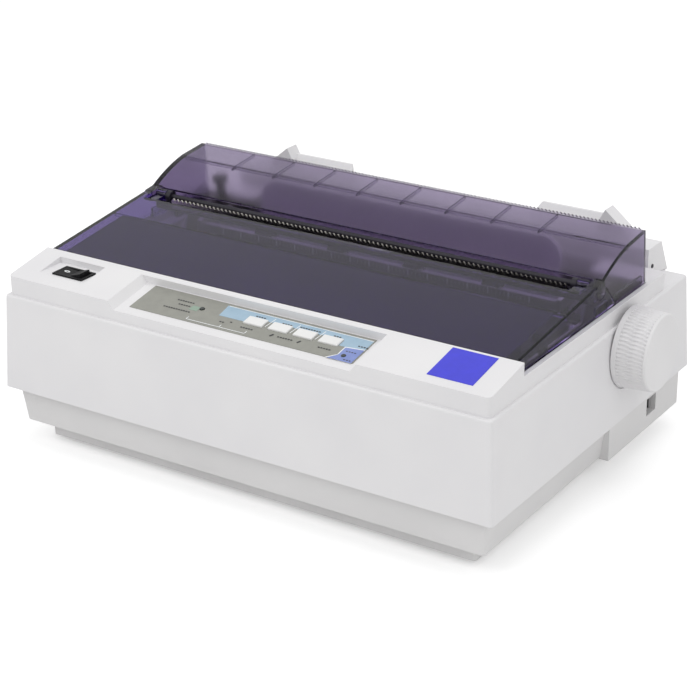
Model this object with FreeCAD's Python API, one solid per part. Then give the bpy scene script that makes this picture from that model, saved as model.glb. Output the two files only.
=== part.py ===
# Dot matrix printer for 80-column paper, with a smoked front cover hinged to a
# smoked rear hood, a platen knob on its right side and a sheet guide at the rear.
#
# All pieces are drawn in the case's own places: x to the right of the case's
# middle, y backwards from its front face, z up from the desk. The last step
# moves them so that the origin is under the middle of the whole printer.
import FreeCAD, Part
import math
import os

V = FreeCAD.Vector

# Shell walls, rounds and clearances
wall = 2.5
draft = 3.0
corner_r = 2.2
inner_corner_r = 1.0
edge_r = 1.6
cut_over = 1.0
fit = 0.05
gap = 0.3
cover_gap = 0.4

# Heights, each counted up from the one before it
foot_h = 3.0
plinth_h = 12.0
lower_h = 23.5
skirt_h = 5.5
base_rise = 9.5
platen_rise = 35.1
shelf_rise = 16.5
rim_rise = 10.5
band_rise = 11.9
deck_rise = 6.7
cover_rise = 11.8
ridge_rise = 12.1
hood_rise = 2.2
lip_z = foot_h + plinth_h
seam_z = lip_z + lower_h
skirt_z = seam_z + skirt_h
base_z = seam_z + base_rise
platen_z = base_z + platen_rise
shelf_z = platen_z + shelf_rise
rim_z = shelf_z + rim_rise
band_front_z = shelf_z + band_rise
deck_rear_z = band_front_z + deck_rise
seam_top_z = deck_rear_z + cover_rise
ridge_z = seam_top_z + ridge_rise
hood_rear_z = ridge_z + hood_rise

# Depths, each counted back from the one before it
band_step = 5.2
deck_d = 36.8
cover_d = 100.9
platen_back = 23.1
ridge_back = 32.3
hood_d = 22.1
hood_lean = 3.0
band_back = 22.7
shelf_d = 31.0
band_front_y = band_step
deck_rear_y = band_front_y + deck_d
seam_top_y = deck_rear_y + cover_d
platen_y = seam_top_y + platen_back
ridge_y = seam_top_y + ridge_back
hood_rear_y = ridge_y + hood_d
hood_foot_y = hood_rear_y + hood_lean
band_rear_y = hood_foot_y + band_back
case_d = band_rear_y + shelf_d

# Widths: the paper sets the platen's, and the platen sets the case's
platen_half = 125.0
frame_beyond = 20.0
side_room = 22.8
frame_in = platen_half + frame_beyond
band_half = frame_in + side_room
case_half = band_half + band_step

# Platen and the shaft through it
platen_r = 15.5
shaft_r = 5.0

# Raised block that carries the covers
band_corner_r = 3.0
rim_t = 2.9
ledge_inset = 7.3
ledge_drop = 3.9
ledge_depth = 6.0
side_ledge_drop = 9.3
side_ledge_w = 8.0
corner_deck_w = 38.0
ledge_half = band_half - ledge_inset
side_ledge_z = rim_z - side_ledge_drop

# Lower case
plinth_inset = 20.0
plinth_front_y = 18.3
plinth_rear_inset = 11.0
lip_inset = 8.7
lip_front_y = 7.9
lip_rear_inset = 7.0
lip_draft = 4.0
plinth_half = case_half - plinth_inset
plinth_rear_y = case_d - plinth_rear_inset
lip_half = case_half - lip_inset
lip_rear_y = case_d - lip_rear_inset

# Covers, and the channel between them that holds the hinge
cover_t = 2.5
seam_run = 17.2
cheek_w = 6.3
channel_d = 17.4
hinge_ahead = 2.4
hinge_drop = 4.0
cover_half = band_half - rim_t - 2 * gap
channel_half = cover_half - cheek_w
channel_y0 = seam_top_y - channel_d
channel_y1 = seam_top_y
cover_foot_z = rim_z + gap
seam_foot_y = seam_top_y + seam_run
hinge_y = seam_top_y - hinge_ahead
hinge_z = seam_top_z - hinge_drop

# Mechanism frame
frame_t = 1.6
base_t = 1.2
base_ahead = 100.0
base_behind = 16.0
base_y0 = platen_y - base_ahead
base_y1 = platen_y + base_behind


def box(x0, x1, y0, y1, z0, z1):
    return Part.makeBox(x1 - x0, y1 - y0, z1 - z0, V(x0, y0, z0))


def rod(radius, start, end):
    axis = end - start
    return Part.makeCylinder(radius, axis.Length, start, axis)


def rod_x(radius, x0, x1, y, z):
    return rod(radius, V(x0, y, z), V(x1, y, z))


def rod_z(radius, x, y, z0, z1):
    return rod(radius, V(x, y, z0), V(x, y, z1))


def face_of(corners):
    return Part.Face(Part.makePolygon(corners + corners[:1]))


def prism_x(points, x0, x1):
    return face_of([V(x0, y, z) for y, z in points]).extrude(V(x1 - x0, 0, 0))


def prism_y(points, y0, y1):
    return face_of([V(x, y0, z) for x, z in points]).extrude(V(0, y1 - y0, 0))


def join(shapes):
    return shapes[0].fuse(shapes[1:]).removeSplitter()


def mirrored(shape):
    return shape.mirror(V(0, 0, 0), V(1, 0, 0))


def both(shape):
    return [shape, mirrored(shape)]


def outline(x0, x1, y0, y1, r, z):
    # A rectangle with round corners, level at height z
    k = r * (1 - math.sqrt(0.5))
    stops = [
        (V(x0 + r, y0, z), V(x1 - r, y0, z), V(x1 - k, y0 + k, z), V(x1, y0 + r, z)),
        (V(x1, y0 + r, z), V(x1, y1 - r, z), V(x1 - k, y1 - k, z), V(x1 - r, y1, z)),
        (V(x1 - r, y1, z), V(x0 + r, y1, z), V(x0 + k, y1 - k, z), V(x0, y1 - r, z)),
        (V(x0, y1 - r, z), V(x0, y0 + r, z), V(x0 + k, y0 + k, z), V(x0 + r, y0, z)),
    ]
    edges = []
    for start, stop, middle, end in stops:
        edges.append(Part.makeLine(start, stop))
        edges.append(Part.Arc(stop, middle, end).toShape())
    return Part.Wire(edges)


def slab(half, y0, y1, r, z0, z1):
    face = Part.Face(outline(-half, half, y0, y1, r, z0))
    return face.extrude(V(0, 0, z1 - z0))


def drafted(half0, y0, y1, z0, half1, y2, y3, z1, r):
    # A block whose walls lean from one outline to another
    low = outline(-half0, half0, y0, y1, r, z0)
    high = outline(-half1, half1, y2, y3, r, z1)
    return Part.makeLoft([low, high], True, True)


# The deck slopes up from the band's front edge to the cover's front edge
deck_slope = (deck_rear_z - band_front_z) / (deck_rear_y - band_front_y)
deck_tilt = math.degrees(math.atan(deck_slope))


def deck_z(y):
    return band_front_z + (y - band_front_y) * deck_slope


def deck_v(y):
    # How far along the slope a place of the case lies
    return (y - band_front_y) / math.cos(math.radians(deck_tilt))


def on_deck(shape):
    # Lays a shape drawn on a level deck onto the sloping one
    turn = FreeCAD.Rotation(V(1, 0, 0), deck_tilt)
    place = FreeCAD.Placement(V(0, band_front_y, band_front_z), turn)
    moved = shape.copy()
    moved.Placement = place.multiply(moved.Placement)
    return moved


# The cover's plane rises from the deck's rear edge to the seam
cover_slope = (seam_top_z - deck_rear_z) / (seam_top_y - deck_rear_y)


def cover_z(y):
    return deck_rear_z + (y - deck_rear_y) * cover_slope


# Control panel: a recess in the deck, open to the front
panel_left = -86.0
panel_right = 80.0
panel_flare = 8.0
panel_depth = 5.0
panel_rear_inset = 4.5
panel_rear_y = deck_rear_y - panel_rear_inset
label_left_inset = 7.0
label_right_inset = 2.5
label_front_inset = 5.8
label_rear_inset = 1.2
label_left = panel_left + label_left_inset
label_right = panel_right - label_right_inset
label_front_y = band_front_y + label_front_inset
label_rear_y = panel_rear_y - label_rear_inset
label_t = 0.4
button_pitch = 17.2
button_first_x = 2.2
button_count = 4
button_behind = 10.9
button_y = label_rear_y - button_behind
button_w = 13.0
button_d = 7.4
button_rise = 1.6
button_travel = 0.8
button_play = 0.25
button_flange = 1.0
button_flange_t = 1.2
lamp_r = 1.5
lamp_rise = 0.7
lamp_shares = [(0.2735, 0.567), (0.945, 0.169)]
recess_over = 8.0
board_drop = 16.0
board_t = 1.6

# Power switch: a wedge recess with a level floor
switch_inset = 21.0
switch_w = 35.4
switch_front_inset = 9.4
switch_rear_inset = 6.4
switch_floor_rise = 1.9
bezel_across = 20.5
switch_left = switch_inset - case_half
switch_right = switch_left + switch_w
switch_front_y = band_front_y + switch_front_inset
switch_rear_y = deck_rear_y - switch_rear_inset
switch_floor_z = band_front_z + switch_floor_rise
bezel_front_margin = 2.6
bezel_rear_margin = 4.8
bezel_w = 23.0
bezel_d = switch_rear_y - switch_front_y - bezel_front_margin - bezel_rear_margin
bezel_x = switch_left + bezel_across
bezel_y = switch_front_y + bezel_front_margin + bezel_d / 2
bezel_rise = 1.0
bezel_rim = 2.0
rocker_w = 18.0
rocker_d = bezel_d - 2 * bezel_rim
rocker_play = 0.9
rocker_side_play = 0.3
rocker_tilt = 7.0
switch_body_h = 16.0
switch_pin = 1.2

# Name plate, left blank
plate_inset = 34.0
plate_margin = 1.75
plate_size = 28.5
plate_x = case_half - plate_inset
plate_y = deck_rear_y - plate_margin - plate_size / 2
plate_t = 0.8
plate_sink = 0.5

# Knob on the platen's shaft
knob_r = 25.0
knob_tip_r = 23.6
knob_in_gap = 1.7
knob_reach = 20.0
knob_rim = 3.4
knob_lip = 1.7
knob_round = 1.3
knob_teeth = 62
knob_tooth = 0.9
knob_twist = 28.0
grip_shares = (0, 0.34, 0.66)
knob_bore_depth = 12.0
wall_hole_r = 8.0
well_r = 26.0
well_depth = 2.0
knob_in_x = case_half - knob_in_gap
knob_out_x = case_half + knob_reach

# Screw posts that hold the upper case on the lower one
post_inset = 33.0
post_front_inset = 6.0
post_r = 5.5
post_join_rise = 2.0
post_x = case_half - post_inset
post_front_y = deck_rear_y - post_front_inset
post_rear_y = case_d - 4 * post_r
post_join_z = skirt_z + post_join_rise
screw_r = 2.0
screw_head_r = 3.6
screw_head_h = 2.4
screw_well_r = 4.2
screw_seat_z = 12.0
screw_bite = 12.0
screw_play = 0.2

# Rear paper slot and connector places
inlet_inset = 41.0
inlet_w = 27.4
inlet_rise = 5.0
inlet_h = 20.0
inlet_d = 18.0
inlet_x = inlet_inset - plinth_half
inlet_z0 = lip_z + inlet_rise
inlet_body_y = case_d - inlet_d
inlet_pin_w = 4.0
inlet_pin_t = 2.0
inlet_pin_pitch = 7.0
inlet_flange = 1.8
socket_wall = 2.0
vent_count = 12
vent_pitch = 9.0
vent_w = 3.0
vent_rise = 23.5
vent_h = 22.0
vent_z0 = seam_z + vent_rise
vent_z1 = vent_z0 + vent_h


def panel_recess(grow, top):
    # The recess as a tool; grow thickens it by the wall that it leaves behind
    floor = -panel_depth - grow
    left = panel_left - grow
    right = panel_right + grow
    points = [(left, floor), (right, floor), (right + panel_flare, top), (left - panel_flare, top)]
    return on_deck(prism_y(points, -recess_over, deck_v(panel_rear_y) + grow))


def switch_recess(grow, top):
    return box(switch_left - grow, switch_right + grow, switch_front_y - grow,
               switch_rear_y + grow, switch_floor_z - grow, top)


def button_x(index):
    return button_first_x + index * button_pitch


def lamp_places():
    # Each lamp stands at a share of the label's width and depth
    places = []
    for across, back in lamp_shares:
        x = label_left + across * (label_right - label_left)
        y = label_front_y + back * (label_rear_y - label_front_y)
        places.append((x, y))
    return places


def panel_windows():
    # Holes in the panel's floor for the buttons and the lamps
    tools = []
    low = -panel_depth - wall - cut_over
    for index in range(button_count):
        x = button_x(index)
        v = deck_v(button_y)
        half_w = button_w / 2 + button_play
        half_d = button_d / 2 + button_play
        tools.append(on_deck(box(x - half_w, x + half_w, v - half_d, v + half_d, low, 0)))
    for x, y in lamp_places():
        tools.append(on_deck(rod_z(lamp_r + button_play, x, deck_v(y), low, 0)))
    return tools


def make_upper_case():
    top_half = case_half - draft
    main = drafted(case_half, 0, case_d, seam_z, top_half, draft, case_d - draft, shelf_z, corner_r)
    top_edges = [e for e in main.Edges if min(v.Point.z for v in e.Vertexes) > shelf_z - edge_r]
    main = main.makeFillet(edge_r, top_edges)
    foot_z = shelf_z - wall
    block = prism_x([(band_front_y, foot_z), (band_front_y, band_front_z), (deck_rear_y, deck_rear_z),
                     (deck_rear_y, rim_z), (band_rear_y, rim_z), (band_rear_y, foot_z)],
                    -band_half, band_half)
    block = block.common(slab(band_half, band_front_y, band_rear_y, band_corner_r, foot_z,
                              deck_rear_z + cut_over))
    outer = join([main, block])

    lean = draft * wall / (shelf_z - seam_z)
    inner_top = top_half - wall + lean
    hollow = drafted(case_half - wall, wall, case_d - wall, seam_z, inner_top, draft + wall - lean,
                     case_d - draft - wall + lean, foot_z, inner_corner_r)
    under_deck = wall * math.hypot(1, deck_slope)
    bay_half = band_half - rim_t
    in_y = band_front_y + wall
    above = deck_rear_z + cut_over
    bay = prism_x([(in_y, foot_z - wall), (in_y, deck_z(in_y) - under_deck),
                   (deck_rear_y, deck_rear_z - under_deck), (deck_rear_y, above),
                   (band_rear_y - wall, above), (band_rear_y - wall, foot_z - wall)],
                  -bay_half, bay_half)
    room = hollow.fuse(bay)
    room = room.cut([panel_recess(wall, 0), switch_recess(wall, above)])
    case = outer.cut(room)
    ledge_z = deck_rear_z - ledge_drop
    root = deck_rear_y - wall
    ledge = prism_x([(root, ledge_z - wall), (root, deck_z(root) - wall),
                     (deck_rear_y, deck_rear_z - wall), (deck_rear_y, ledge_z),
                     (deck_rear_y + ledge_depth, ledge_z), (deck_rear_y + ledge_depth, ledge_z - wall)],
                    -ledge_half, ledge_half)
    side = box(bay_half - side_ledge_w, bay_half + rim_t / 2, deck_rear_y, band_rear_y - wall / 2,
               side_ledge_z - wall, side_ledge_z)
    corner = box(bay_half - corner_deck_w, bay_half + rim_t / 2, hood_foot_y + 2 * gap,
                 band_rear_y - wall / 2, rim_z - wall, rim_z)
    posts = []
    for y, top in ((post_front_y, deck_z(post_front_y) - wall), (post_rear_y, shelf_z - wall)):
        posts += both(rod_z(post_r, post_x, y, post_join_z, top))
    case = join([case, ledge] + both(side) + both(corner) + posts + panel_posts())

    tools = panel_windows() + [panel_recess(0, panel_depth), switch_recess(0, above)]
    half_w = bezel_w / 2 - bezel_rise
    half_d = bezel_d / 2 - bezel_rise
    tools.append(box(bezel_x - half_w, bezel_x + half_w, bezel_y - half_d, bezel_y + half_d,
                     switch_floor_z - wall - cut_over, switch_floor_z + cut_over))
    half_p = plate_size / 2
    v = deck_v(plate_y)
    tools.append(on_deck(box(plate_x - half_p, plate_x + half_p, v - half_p, v + half_p,
                             -plate_sink, plate_size)))
    tools.append(rod_x(well_r, case_half - well_depth, knob_out_x, platen_y, platen_z))
    tools.append(rod_x(wall_hole_r, band_half - wall, knob_out_x, platen_y, platen_z))
    for x in (-post_x, post_x):
        for y in (post_front_y, post_rear_y):
            tools.append(rod_z(screw_r + fit, x, y, post_join_z, post_join_z + screw_bite))
    first = -(vent_count - 1) * vent_pitch / 2
    for index in range(vent_count):
        x = first + index * vent_pitch
        tools.append(box(x, x + vent_w, case_d - draft - 2 * wall, case_d, vent_z0, vent_z1))
    tools.append(box(inlet_x - inlet_w / 2, inlet_x + inlet_w / 2, case_d - 2 * wall, case_d + wall,
                     seam_z, inlet_z0 + inlet_h))
    return case.cut(tools)


# Side housings of the lower case, further out than its front part
bulge_len = 98.0
bulge_rear_inset = 8.0
bay_inset = 33.0
bay_w = 13.0
bay_h = 11.4
bay_depth = 14.0
bay_top_drop = 2.0
port_half = 33.5
port_inset = 60.0
port_rise = 2.9
port_h = 16.1
bulge_half = case_half - draft
bulge_y1 = case_d - bulge_rear_inset
bulge_y0 = bulge_y1 - bulge_len
bulge_foot_z = lip_z - cut_over
bay_y1 = bulge_y1 - bay_inset
bay_y0 = bay_y1 - bay_w
bay_z1 = seam_z - wall - bay_top_drop
bay_z0 = bay_z1 - bay_h
port_z0 = lip_z + port_rise
port_z1 = port_z0 + port_h

# Posts under the mechanism and under the main board
frame_post_inset = 7.0
frame_post_front = 4.0
frame_post_rear = 8.0
frame_post_r = 4.5
board_left_inset = 87.0
board_right_inset = 33.0
board_rear_inset = 18.0
board_d = 104.0
board_rise = 9.0
frame_post_x = frame_in - frame_post_inset
frame_post_y0 = base_y0 + frame_post_front
frame_post_y1 = base_y1 - frame_post_rear
board_x0 = board_left_inset - frame_in
board_x1 = frame_in - board_right_inset
board_y1 = case_d - board_rear_inset
board_y0 = board_y1 - board_d
board_z = foot_h + board_rise
port_x = board_x1 - port_inset
board_post_r = 3.5
board_post_in = 7.0
board_peg_r = 1.5
board_peg_deep = 5.0
foot_inset = 31.0
foot_front_inset = 21.7
foot_rear_inset = 32.0
foot_x = plinth_half - foot_inset
foot_y0 = plinth_front_y + foot_front_inset
foot_y1 = case_d - foot_rear_inset
foot_r = 9.0
foot_stem_r = 3.0


def lower_posts():
    # Each entry: x, y, top and radius of a post standing on the floor
    posts = []
    for x in (-post_x, post_x):
        for y in (post_front_y, post_rear_y):
            posts.append((x, y, post_join_z, post_r))
    for x in (-frame_post_x, frame_post_x):
        for y in (frame_post_y0, frame_post_y1):
            posts.append((x, y, base_z, frame_post_r))
    for x, y in board_corners():
        posts.append((x, y, board_z, board_post_r))
    return posts


def board_corners():
    x_places = (board_x0 + board_post_in, board_x1 - board_post_in)
    y_places = (board_y0 + board_post_in, board_y1 - board_post_in)
    return [(x, y) for x in x_places for y in y_places]


def make_lower_case():
    floor_z = foot_h
    plinth = slab(plinth_half, plinth_front_y, plinth_rear_y, corner_r, floor_z, lip_z + wall)
    top_half = lip_half + lip_draft
    lip = drafted(lip_half, lip_front_y, lip_rear_y, lip_z, top_half, lip_front_y - lip_draft / 2,
                  lip_rear_y + lip_draft / 2, skirt_z, corner_r)
    bulges = both(box(plinth_half, bulge_half, bulge_y0, bulge_y1, bulge_foot_z, seam_z - wall))
    outer = join([plinth, lip] + bulges)

    low_room = slab(plinth_half - wall, plinth_front_y + wall, plinth_rear_y - wall, inner_corner_r,
                    floor_z + wall, lip_z + wall + cut_over)
    high_room = drafted(lip_half - wall, lip_front_y + wall, lip_rear_y - wall, lip_z + wall,
                        top_half - wall, lip_front_y - lip_draft / 2 + wall,
                        lip_rear_y + lip_draft / 2 - wall, skirt_z + cut_over, inner_corner_r)
    bulge_rooms = both(box(plinth_half, bulge_half - wall, bulge_y0 + wall, bulge_y1 - wall,
                           bulge_foot_z + wall, seam_z - 2 * wall))
    case = outer.cut([low_room, high_room] + bulge_rooms)
    case = join([case] + [rod_z(r, x, y, floor_z + wall / 2, top) for x, y, top, r in lower_posts()])
    pocket = box(bulge_half - bay_depth, bulge_half - cut_over, bay_y0 - wall, bay_y1 + wall,
                 bulge_foot_z + cut_over, seam_z - wall - cut_over)
    case = join([case, pocket])

    tools = [box(bulge_half - bay_depth + wall, bulge_half + cut_over, bay_y0, bay_y1, bay_z0, bay_z1)]
    for x in (-post_x, post_x):
        for y in (post_front_y, post_rear_y):
            tools.append(rod_z(screw_r + screw_play, x, y, 0, post_join_z + cut_over))
            tools.append(rod_z(screw_well_r, x, y, 0, screw_seat_z))
    for x in (-frame_post_x, frame_post_x):
        for y in (frame_post_y0, frame_post_y1):
            tools.append(rod_z(screw_r - fit, x, y, base_z - screw_bite, base_z + cut_over))
    for x, y in board_corners():
        tools.append(rod_z(board_peg_r, x, y, board_z - board_peg_deep, board_z + cut_over))
    for x in (-foot_x, foot_x):
        for y in (foot_y0, foot_y1):
            tools.append(rod_z(foot_stem_r + fit, x, y, 0, floor_z + wall + cut_over))
    rear = lip_rear_y + lip_draft
    tools.append(box(inlet_x - inlet_w / 2, inlet_x + inlet_w / 2, lip_rear_y - 2 * wall, rear,
                     inlet_z0, skirt_z + cut_over))
    tools.append(box(port_x - port_half, port_x + port_half, lip_rear_y - 2 * wall, rear,
                     port_z0, port_z1))
    return case.cut(tools)


def make_rubber_feet():
    feet = []
    for x in (-foot_x, foot_x):
        for y in (foot_y0, foot_y1):
            pad = rod_z(foot_r, x, y, 0, foot_h)
            low = [e for e in pad.Edges if e.BoundBox.ZMax < foot_h / 2 and e.BoundBox.XLength > foot_r]
            pad = pad.makeChamfer(foot_h / 4, low)
            stem = rod_z(foot_stem_r, x, y, foot_h, foot_h + wall)
            feet.append(join([pad, stem]))
    return Part.Compound(feet)


def screw(x, y, seat, length, r, head_r, head_h, up):
    # The head lies on its seat and the shank runs on by its length
    if up:
        return join([rod_z(head_r, x, y, seat - head_h, seat), rod_z(r, x, y, seat, seat + length)])
    return join([rod_z(head_r, x, y, seat, seat + head_h), rod_z(r, x, y, seat - length, seat)])


def make_case_screws():
    length = post_join_z - screw_seat_z + screw_bite - cut_over
    screws = []
    for x in (-post_x, post_x):
        for y in (post_front_y, post_rear_y):
            screws.append(screw(x, y, screw_seat_z, length, screw_r, screw_head_r, screw_head_h, True))
    return Part.Compound(screws)


def make_frame_screws():
    length = screw_bite - cut_over + base_t
    r = screw_r - 2 * fit
    screws = []
    for x in (-frame_post_x, frame_post_x):
        for y in (frame_post_y0, frame_post_y1):
            screws.append(screw(x, y, base_z + base_t, length, r, screw_head_r, screw_head_h, False))
    return Part.Compound(screws)


# Control panel pieces
def make_panel_label():
    floor = -panel_depth
    v0 = deck_v(label_front_y)
    v1 = deck_v(label_rear_y)
    sheet = box(label_left, label_right, v0, v1, floor, floor + label_t)
    tools = []
    for index in range(button_count):
        x = button_x(index)
        v = deck_v(button_y)
        half_w = button_w / 2 + button_play
        half_d = button_d / 2 + button_play
        tools.append(box(x - half_w, x + half_w, v - half_d, v + half_d, floor - label_t, 0))
    for x, y in lamp_places():
        tools.append(rod_z(lamp_r + button_play, x, deck_v(y), floor - label_t, 0))
    return on_deck(sheet.cut(tools))


def make_name_plate():
    half = plate_size / 2 - fit
    v = deck_v(plate_y)
    top = plate_t - plate_sink
    return on_deck(box(plate_x - half, plate_x + half, v - half, v + half, -plate_sink, top))


board_margin = 6.0
panel_board_inset = 19.0
panel_board_over = 0.5
panel_board_left = label_left + panel_board_inset
panel_board_right = label_right + panel_board_over
panel_post_r = 3.0
tact_size = 6.0
tact_h = 3.4
stem_r = 2.0


def make_panel_board():
    # Board with the four push switches that stand on it
    v0 = deck_v(label_front_y)
    v1 = deck_v(label_rear_y) - board_margin / 2
    v = deck_v(button_y)
    half = tact_size / 2
    solids = [box(panel_board_left, panel_board_right, v0, v1, -board_drop - board_t, -board_drop)]
    for index in range(button_count):
        x = button_x(index)
        solids.append(box(x - half, x + half, v - half, v + half, -board_drop, -board_drop + tact_h))
    return on_deck(join(solids))


def panel_posts():
    # Spacers moulded under the panel's floor, down to its board
    v = deck_v(label_front_y) + board_margin
    places = (panel_board_left + board_margin, panel_board_right - board_margin / 2)
    return [on_deck(rod_z(panel_post_r, x, v, -board_drop, -panel_depth - wall / 2)) for x in places]


def make_panel_lamps():
    lamps = []
    for x, y in lamp_places():
        v = deck_v(y)
        stem = rod_z(lamp_r, x, v, -board_drop, -panel_depth + label_t + lamp_rise)
        tip = [e for e in stem.Edges if e.BoundBox.ZMin > -panel_depth]
        lamps.append(stem.makeFillet(lamp_rise * lamp_r / 2, tip))
    return on_deck(Part.Compound(lamps))


def make_button(index):
    x = button_x(index)
    v = deck_v(button_y)
    half_w = button_w / 2
    half_d = button_d / 2
    under = -panel_depth - wall - gap
    cap = box(x - half_w, x + half_w, v - half_d, v + half_d, under, -panel_depth + button_rise)
    round_edges = [e for e in cap.Edges if e.BoundBox.ZMin > -panel_depth]
    cap = cap.makeFillet(button_rise / 2, round_edges)
    flange = box(x - half_w - button_flange, x + half_w + button_flange, v - half_d - button_flange,
                 v + half_d + button_flange, under - button_flange_t, under)
    stem_z = -board_drop + tact_h + button_travel + gap
    stem = rod_z(stem_r, x, v, stem_z, under - button_flange_t / 2)
    return on_deck(join([cap, flange, stem]))


# Power switch pieces
def make_power_switch_body():
    half_w = bezel_w / 2
    half_d = bezel_d / 2
    neck_w = half_w - bezel_rise - fit
    neck_d = half_d - bezel_rise - fit
    low = switch_floor_z - switch_body_h
    rim = box(bezel_x - half_w, bezel_x + half_w, bezel_y - half_d, bezel_y + half_d,
              switch_floor_z, switch_floor_z + bezel_rise)
    body = box(bezel_x - neck_w, bezel_x + neck_w, bezel_y - neck_d, bezel_y + neck_d,
               low, switch_floor_z)
    shell = join([rim, body])
    room_w = rocker_w / 2 + rocker_play
    room_d = rocker_d / 2 + rocker_side_play
    room = box(bezel_x - room_w, bezel_x + room_w, bezel_y - room_d, bezel_y + room_d,
               low + 2 * wall, switch_floor_z + bezel_rise + cut_over)
    pins = []
    for x in (bezel_x - rocker_w / 4, bezel_x + rocker_w / 4):
        pins.append(box(x - switch_pin / 2, x + switch_pin / 2, bezel_y - 2 * switch_pin,
                        bezel_y + 2 * switch_pin, low - 2 * wall, low))
    axle = rod(switch_pin, V(bezel_x, bezel_y - neck_d, rocker_axis_z),
               V(bezel_x, bezel_y + neck_d, rocker_axis_z))
    return join([shell.cut(room), axle] + pins)


rocker_axis_z = switch_floor_z - 3 * bezel_rise
rocker_rise = 2.2
rocker_deep = 3.0
rocker_waist_share = 0.9


def make_power_rocker():
    # A shallow V on top, tipped so that its right half stands up
    half_w = rocker_w / 2
    half_d = rocker_d / 2
    top = switch_floor_z + rocker_rise
    low = rocker_axis_z - rocker_deep
    waist = half_w * rocker_waist_share
    points = [(bezel_x - half_w, top), (bezel_x, switch_floor_z + bezel_rise / 2), (bezel_x + half_w, top),
              (bezel_x + waist, rocker_axis_z), (bezel_x, low), (bezel_x - waist, rocker_axis_z)]
    rocker = prism_y(points, bezel_y - half_d, bezel_y + half_d)
    bore = rod(switch_pin + fit, V(bezel_x, bezel_y - half_d - cut_over, rocker_axis_z),
               V(bezel_x, bezel_y + half_d + cut_over, rocker_axis_z))
    rocker = rocker.cut(bore)
    rocker.rotate(V(bezel_x, bezel_y, rocker_axis_z), V(0, 1, 0), -rocker_tilt)
    return rocker


# Covers and the hinge between them
rod_r = 1.8
knuckle_r = 3.8
collar_inset = 12.0
collar_w = 3.5
barrel_inset = 0.8
disc_r = 6.4
beam_d = 5.4
beam_h = 7.6
beam_drop = 2.4
rib_t = 1.2
rib_h = 1.6
rib_ahead = 2.5
rib_pitch = 32.4
rib_count = 8
rib_across = 43.3
cover_rib_behind = 58.2
cover_rib_h = 2.0
liner_inset = 3.0
liner_t = 1.0
tooth_pitch = 2.6
tooth_h = 1.2
tooth_t = 1.2
hood_bulge = 1.4
tab_ahead = 5.9
tab_len = 14.5
tab_h = 6.0
tab_drop = 1.1
tab_t = 1.6
leg_behind = 2.9
collar_x0 = channel_half - collar_inset
collar_x1 = collar_x0 + collar_w
barrel_x1 = channel_half - barrel_inset
beam_y0 = channel_y1 - beam_d
beam_z1 = hinge_z - beam_drop
beam_z0 = beam_z1 - beam_h
rib_first_x = rib_across - cover_half
cover_rib_y = deck_rear_y + cover_rib_behind
strip_x = channel_half - liner_inset
tab_y0 = seam_top_y - tab_ahead
tab_y1 = tab_y0 + tab_len
tab_z0 = rim_z - tab_drop
tab_z1 = tab_z0 + tab_h
leg_y0 = seam_foot_y + leg_behind
leg_y1 = hood_foot_y - wall


def skyline():
    # The covers' outer profile as one closed region, used to trim the knuckles
    return prism_x([(deck_rear_y, cover_foot_z), (deck_rear_y, deck_rear_z), (seam_top_y, seam_top_z),
                    (ridge_y, ridge_z), (hood_rear_y, hood_rear_z), (hood_foot_y, cover_foot_z)],
                   -case_half, case_half)


def make_front_cover():
    front = deck_rear_y + cover_gap
    rear = seam_top_y - cover_gap
    plate = prism_x([(front, cover_z(front)), (rear, cover_z(rear)), (rear, cover_z(rear) - cover_t),
                     (front, cover_z(front) - cover_t)], -cover_half, cover_half)
    side = prism_x([(front, cover_z(front)), (rear, cover_z(rear)),
                    (seam_foot_y - cover_gap, cover_foot_z), (front, cover_foot_z)],
                   cover_half - cover_t, cover_half)
    y0 = cover_rib_y
    y1 = cover_rib_y + rib_t
    over = cover_t / 2
    under = cover_t + cover_rib_h
    rib = prism_x([(y0, cover_z(y0) - over), (y1, cover_z(y1) - over),
                   (y1, cover_z(y1) - under), (y0, cover_z(y0) - under)],
                  -cover_half + cover_t / 2, cover_half - cover_t / 2)
    shell = join([plate] + both(side) + [rib])
    long_edges = [e for e in shell.Edges if e.BoundBox.YLength > seam_top_y - front - wall
                  and abs(abs(e.CenterOfMass.x) - cover_half) < fit and e.BoundBox.ZLength > cover_t]
    shell = shell.makeFillet(cover_t / 2, [e for e in long_edges if e.BoundBox.ZMax > rim_z + wall])
    channel = box(-channel_half, channel_half, channel_y0, case_d, cover_foot_z, deck_rear_z + case_d)
    edge_trim = rod_x(disc_r + cover_gap, -case_half, case_half, hinge_y, hinge_z)
    shell = shell.cut([channel, edge_trim])
    tabs = both(prism_x([(tab_y0, tab_z1), (tab_y0, tab_z0), (tab_y1, tab_z0), (tab_y1, tab_z1)],
                        cover_half - cover_t - tab_t, cover_half - cover_t / 2))
    return join([shell] + both(cover_arm()) + tabs)


def cover_arm():
    # Arm from the cover's rear edge across the channel to its knuckle on the hinge rod
    x0 = collar_x1 + gap
    root = channel_y0 - cover_t
    arm = prism_x([(root, cover_z(channel_y0) - cover_t), (root, cover_z(channel_y0) - cover_t / 2),
                   (hinge_y, hinge_z + cover_t / 2), (hinge_y, hinge_z - cover_t / 2)], x0, barrel_x1)
    knuckle = rod_x(knuckle_r, x0, barrel_x1, hinge_y, hinge_z)
    return join([arm, knuckle]).cut(rod_x(rod_r + fit, 0, case_half, hinge_y, hinge_z))


def make_cover_liner():
    # Dark damping sheet under the front half of the cover
    y0 = deck_rear_y + 2 * cover_gap
    y1 = cover_rib_y - fit
    return prism_x([(y0, cover_z(y0) - cover_t), (y1, cover_z(y1) - cover_t),
                    (y1, cover_z(y1) - cover_t - liner_t), (y0, cover_z(y0) - cover_t - liner_t)],
                   -strip_x, strip_x)


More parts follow.
